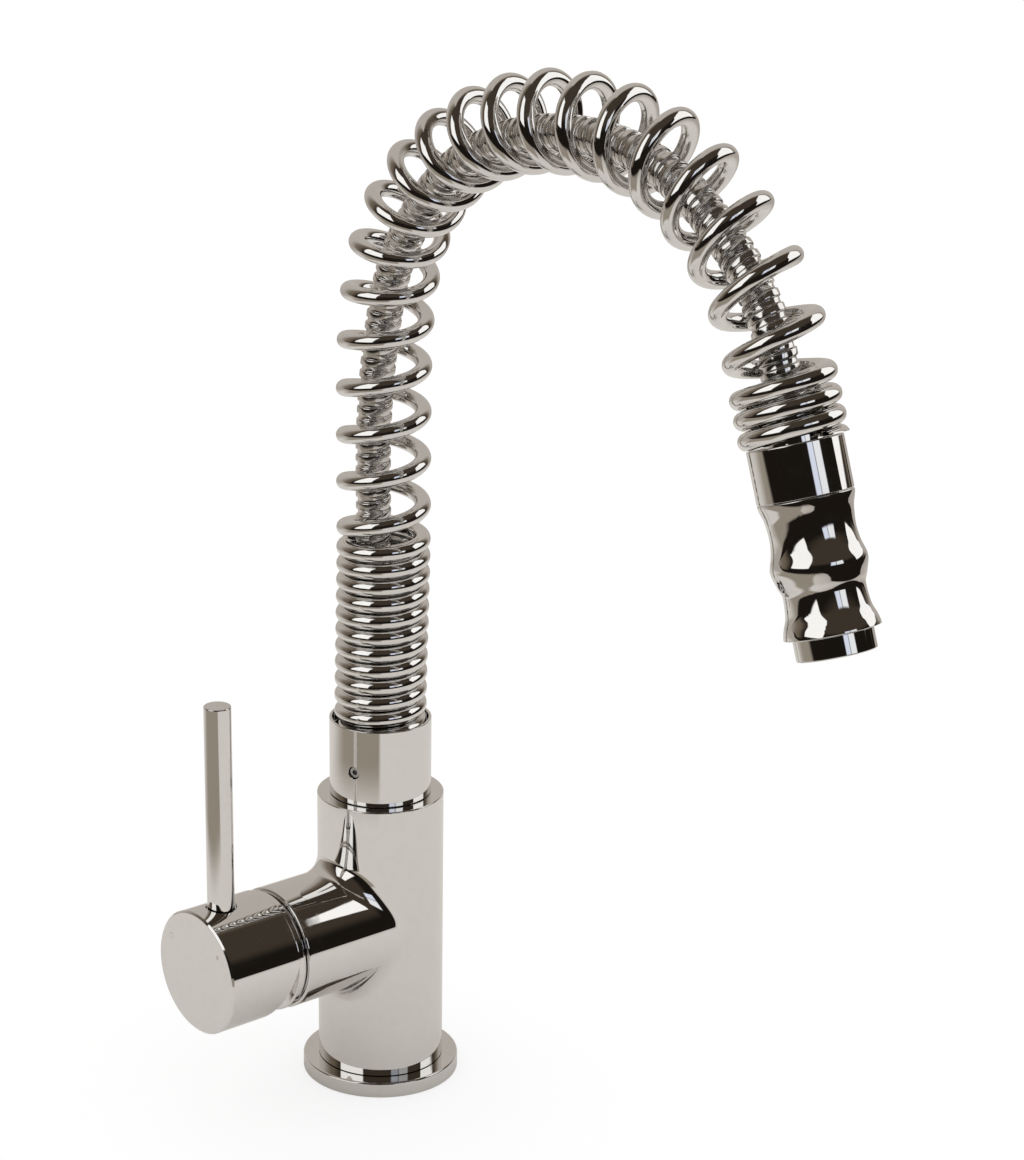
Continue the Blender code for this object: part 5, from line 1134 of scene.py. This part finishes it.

# %% [markdown]
# ## Studio
# The tap stands on a white floor that runs into a white background. In polished chrome the studio
# itself is the picture: a pale floor below the horizon, a dark room above it on the camera's side,
# and in that dark room a white light on each side and a narrow window.
# ### Floor
# The camera sees plain white. In the chrome, the sheet carries a painted pool of light: it is bright
# round the tap and fades with the distance. On the camera's left it lies in painted shade, a third
# of a metre out. Two of its edges show, with the dark room beyond them.

# %% Floor
FLOOR_RADIUS, FLOOR_DROP, FLOOR_SIDES = 6.0, 0.00005, 128
# Painted light: the sheet's tone inside the pool of light round the tap, and far from it.
PAPER_IN_PAINTED_LIGHT, PAPER_PAST_PAINTED_LIGHT = (0.73, 0.70, 0.66), (0.45, 0.41, 0.37)
PAPER_SHADE, ROOM_DARK = (0.33, 0.29, 0.24), (0.012, 0.009, 0.007)
PLAIN_WHITE, PLAIN_GLOW = (0.3, 0.3, 0.3), 0.72
# Where each change begins and ends, in metres from the tap or along a level direction.
PAINTED_LIGHT_FALLOFF, SHADE_NEAR, SHADE_SIDE, SHADE_END = (0.35, 1.1), (0.28, 0.36), (0.015, -0.035), (-0.30, 0.05)
CAMERA_RIGHT, CAMERA_WAY = (0.781, -0.624), (-0.624, -0.781)
PAPER_END, PAPER_EDGES = 0.77, (((0.30, -0.954), 0.03), ((-0.954, -0.30), 0.15))


def staged(name, points, finish):
    """A flat piece of the studio, which is no part of the tap."""
    piece = surface(name, points, [list(range(len(points)))])
    wear(piece, finish)


floor_with_painted_light, tree, shader, where = principled("pale floor", (1.0, 1.0, 1.0), 0.0, 0.9, 0.0)
to_camera = node(tree, "LightPath").outputs["Is Camera Ray"]


def reach(way):
    """How far a place on the floor lies in one level direction, in metres."""
    return measured(tree, "DOT_PRODUCT", where, (*way, 0.0))


away = measured(tree, "LENGTH", where)
# The pool of light, fading with the distance, and the shade on the camera's left are painted into the
# floor's colour.
painted_floor_light_and_shade = mixed(tree, ramp(tree, away, *PAINTED_LIGHT_FALLOFF), PAPER_IN_PAINTED_LIGHT, PAPER_PAST_PAINTED_LIGHT)
shade = product(tree, ramp(tree, away, *SHADE_NEAR), ramp(tree, reach(CAMERA_RIGHT), *SHADE_SIDE))
shade = product(tree, shade, ramp(tree, reach(CAMERA_WAY), *SHADE_END))
painted_floor_light_and_shade = mixed(tree, shade, painted_floor_light_and_shade, PAPER_SHADE)
for way, soft in PAPER_EDGES:
    beyond = ramp(tree, reach(way), PAPER_END - soft, PAPER_END + soft)
    painted_floor_light_and_shade = mixed(tree, beyond, painted_floor_light_and_shade, ROOM_DARK)
tree.links.new(mixed(tree, to_camera, painted_floor_light_and_shade, PLAIN_WHITE), shader.inputs["Base Color"])
shader.inputs["Emission Color"].default_value = (1.0, 1.0, 1.0, 1.0)
tree.links.new(product(tree, to_camera, PLAIN_GLOW), shader.inputs["Emission Strength"])
staged("floor", circle(FLOOR_RADIUS, full_circle(FLOOR_SIDES), -FLOOR_DROP).tolist(), floor_with_painted_light)

# %% [markdown]
# ### Light screen
# The light on the right stands only 0.6 m from the tap, so the knob and the spray see it in quite
# different directions. It is a flat screen in the scene, which only mirrored rays can see. Its edges
# are soft, and for all other rays it is clear, so it lights nothing and shades nothing. Its far
# upper corner is rounded off about the branch's axis, so its highlight ends before the knob.

# %% Light screen
SCREEN_X, SCREEN_Y, SCREEN_Z = 0.615, (-0.70, -0.17), (0.33, 0.95)
SCREEN_AXIS, SCREEN_ROUND = (SCREEN_X, 0.0, BRANCH_HEIGHT * MM), 1.025
SCREEN_SOFT, SCREEN_MARGIN = 0.012, 0.03
SCREEN_COLOUR, SCREEN_STRENGTH = (1.0, 0.99, 0.975, 1.0), 1.15
screen_finish, tree, shader, where = principled("light screen", (0.0, 0.0, 0.0), 0.0, 1.0, 0.0)
place = node(tree, "SeparateXYZ", {0: where}).outputs
lit = node(tree, "LightPath").outputs["Is Glossy Ray"]
for name, span in (("Y", SCREEN_Y), ("Z", SCREEN_Z)):
    lit = product(tree, lit, between(tree, place[name], *span, SCREEN_SOFT))
from_axis = measured(tree, "DISTANCE", where, SCREEN_AXIS)
rounded = ramp(tree, from_axis, SCREEN_ROUND + SCREEN_SOFT, SCREEN_ROUND - SCREEN_SOFT)
tree.links.new(product(tree, lit, rounded), shader.inputs["Alpha"])
shader.inputs["Emission Color"].default_value = SCREEN_COLOUR
shader.inputs["Emission Strength"].default_value = SCREEN_STRENGTH
(left, right), (low, high) = (
    (span[0] - SCREEN_MARGIN, span[1] + SCREEN_MARGIN) for span in (SCREEN_Y, SCREEN_Z))
corners = ((left, low), (right, low), (right, high), (left, high))
staged("light_screen", [(SCREEN_X, *corner) for corner in corners], screen_finish)

# %% [markdown]
# ### World
# The world is worked out from the direction of view: its azimuth and elevation place the light box
# on the left and the window. Only mirrored rays see it. Every other ray meets an even white, which
# lights the scene at a plain level. Azimuths are counted from the camera, and seen in the chrome
# they grow to the right. All angles are in degrees.

# %% World
TOWARDS_CAMERA = math.atan2(-0.8312, -0.6635)
WALL_DIM, WALL_PALE = (0.17, 0.135, 0.10), (0.52, 0.48, 0.44)
ROOM_LOW, ROOM_HIGH, ROOM_RISE = (0.011, 0.009, 0.007), (0.052, 0.040, 0.029), (14.0, 30.0)
# The walls behind the tap: the azimuths where each begins and is full, and its colour.
WALLS = ((-80.0, -104.0, WALL_DIM), (112.0, 132.0, WALL_DIM),
         (-102.0, -142.0, WALL_PALE), (124.0, 146.0, WALL_PALE))
# The window's two panes and the light box: azimuths, elevations and colour.
LIGHTS = (((20.0, 33.0), (9.0, 27.0), (0.80, 0.85, 1.0)),
          ((34.5, 52.0), (9.0, 27.0), (0.95, 0.97, 1.0)),
          ((-80.0, -33.0), (6.0, 56.0), (1.15, 1.14, 1.12)))
LIGHT_SOFT = 1.5
world = bpy.data.worlds.new("studio")
world.use_nodes = True
bpy.context.scene.world = world
tree = world.node_tree
tree.nodes.clear()
direction = node(tree, "TexCoord").outputs["Generated"]
turned_by = node(tree, "VectorRotate", {"Vector": direction, "Angle": -TOWARDS_CAMERA},
                 rotation_type="Z_AXIS").outputs[0]
ahead = node(tree, "SeparateXYZ", {0: turned_by}).outputs
azimuth = maths(tree, "ARCTAN2", ahead["Y"], ahead["X"])
elevation = maths(tree, "ARCSINE", node(tree, "SeparateXYZ", {0: direction}).outputs["Z"])
sky = mixed(tree, ramp(tree, elevation, *np.radians(ROOM_RISE)), ROOM_LOW, ROOM_HIGH)
for first, last, colour in WALLS:
    sky = mixed(tree, ramp(tree, azimuth, math.radians(first), math.radians(last)), sky, colour)
for across, up, colour in LIGHTS:
    box = product(tree, *(between(tree, value, *np.radians((*span, LIGHT_SOFT)))
                          for value, span in ((azimuth, across), (elevation, up))))
    sky = mixed(tree, box, sky, colour)
mirror_light = node(tree, "Background", {"Color": sky, "Strength": 1.0}).outputs[0]
even_light = node(tree, "Background", {"Color": (1.0, 1.0, 1.0, 1.0), "Strength": 1.0}).outputs[0]
mirrored = node(tree, "LightPath").outputs["Is Glossy Ray"]
either = node(tree, "MixShader", {0: mirrored, 1: even_light, 2: mirror_light}).outputs[0]
node(tree, "OutputWorld", {"Surface": either})

# %% [markdown]
# ## Camera
# The camera was found by matching the flange, body, knob, collar and turns to the photograph. It
# stands 1.06 m from the tap, 0.54 m high, and looks down by 19 degrees. The tap sits low and to the
# left in the picture, which a lens shift gives without tilting the verticals any further.

# %% Camera and colour
WIDTH, HEIGHT = 1024.0, 1160.0
FOCAL, CENTRE_X, CENTRE_Y = 3014.17, 390.73, 645.63
CAMERA_PLACE = (-0.66355, -0.83095, 0.54038)
CAMERA_TURN, CAMERA_TILT, CAMERA_ROLL = math.radians(-38.8176), math.radians(70.925), 0.001
SENSOR = 36.0
lens = bpy.data.cameras.new("camera")
eye = linked("camera", lens)
lens.sensor_fit = "HORIZONTAL"
lens.sensor_width = SENSOR
lens.lens = FOCAL / WIDTH * SENSOR
lens.shift_x = (WIDTH / 2.0 - CENTRE_X) / WIDTH
lens.shift_y = (CENTRE_Y - HEIGHT / 2.0) / WIDTH
lens.clip_start, lens.clip_end = 0.05, 50.0
turn = Matrix.Rotation(CAMERA_TURN, 4, "Z")
tilt = Matrix.Rotation(CAMERA_TILT, 4, "X")
roll = Matrix.Rotation(CAMERA_ROLL, 4, "Z")
eye.matrix_world = Matrix.Translation(CAMERA_PLACE) @ turn @ tilt @ roll
bpy.context.scene.camera = eye
bpy.context.scene.view_settings.view_transform = "Standard"
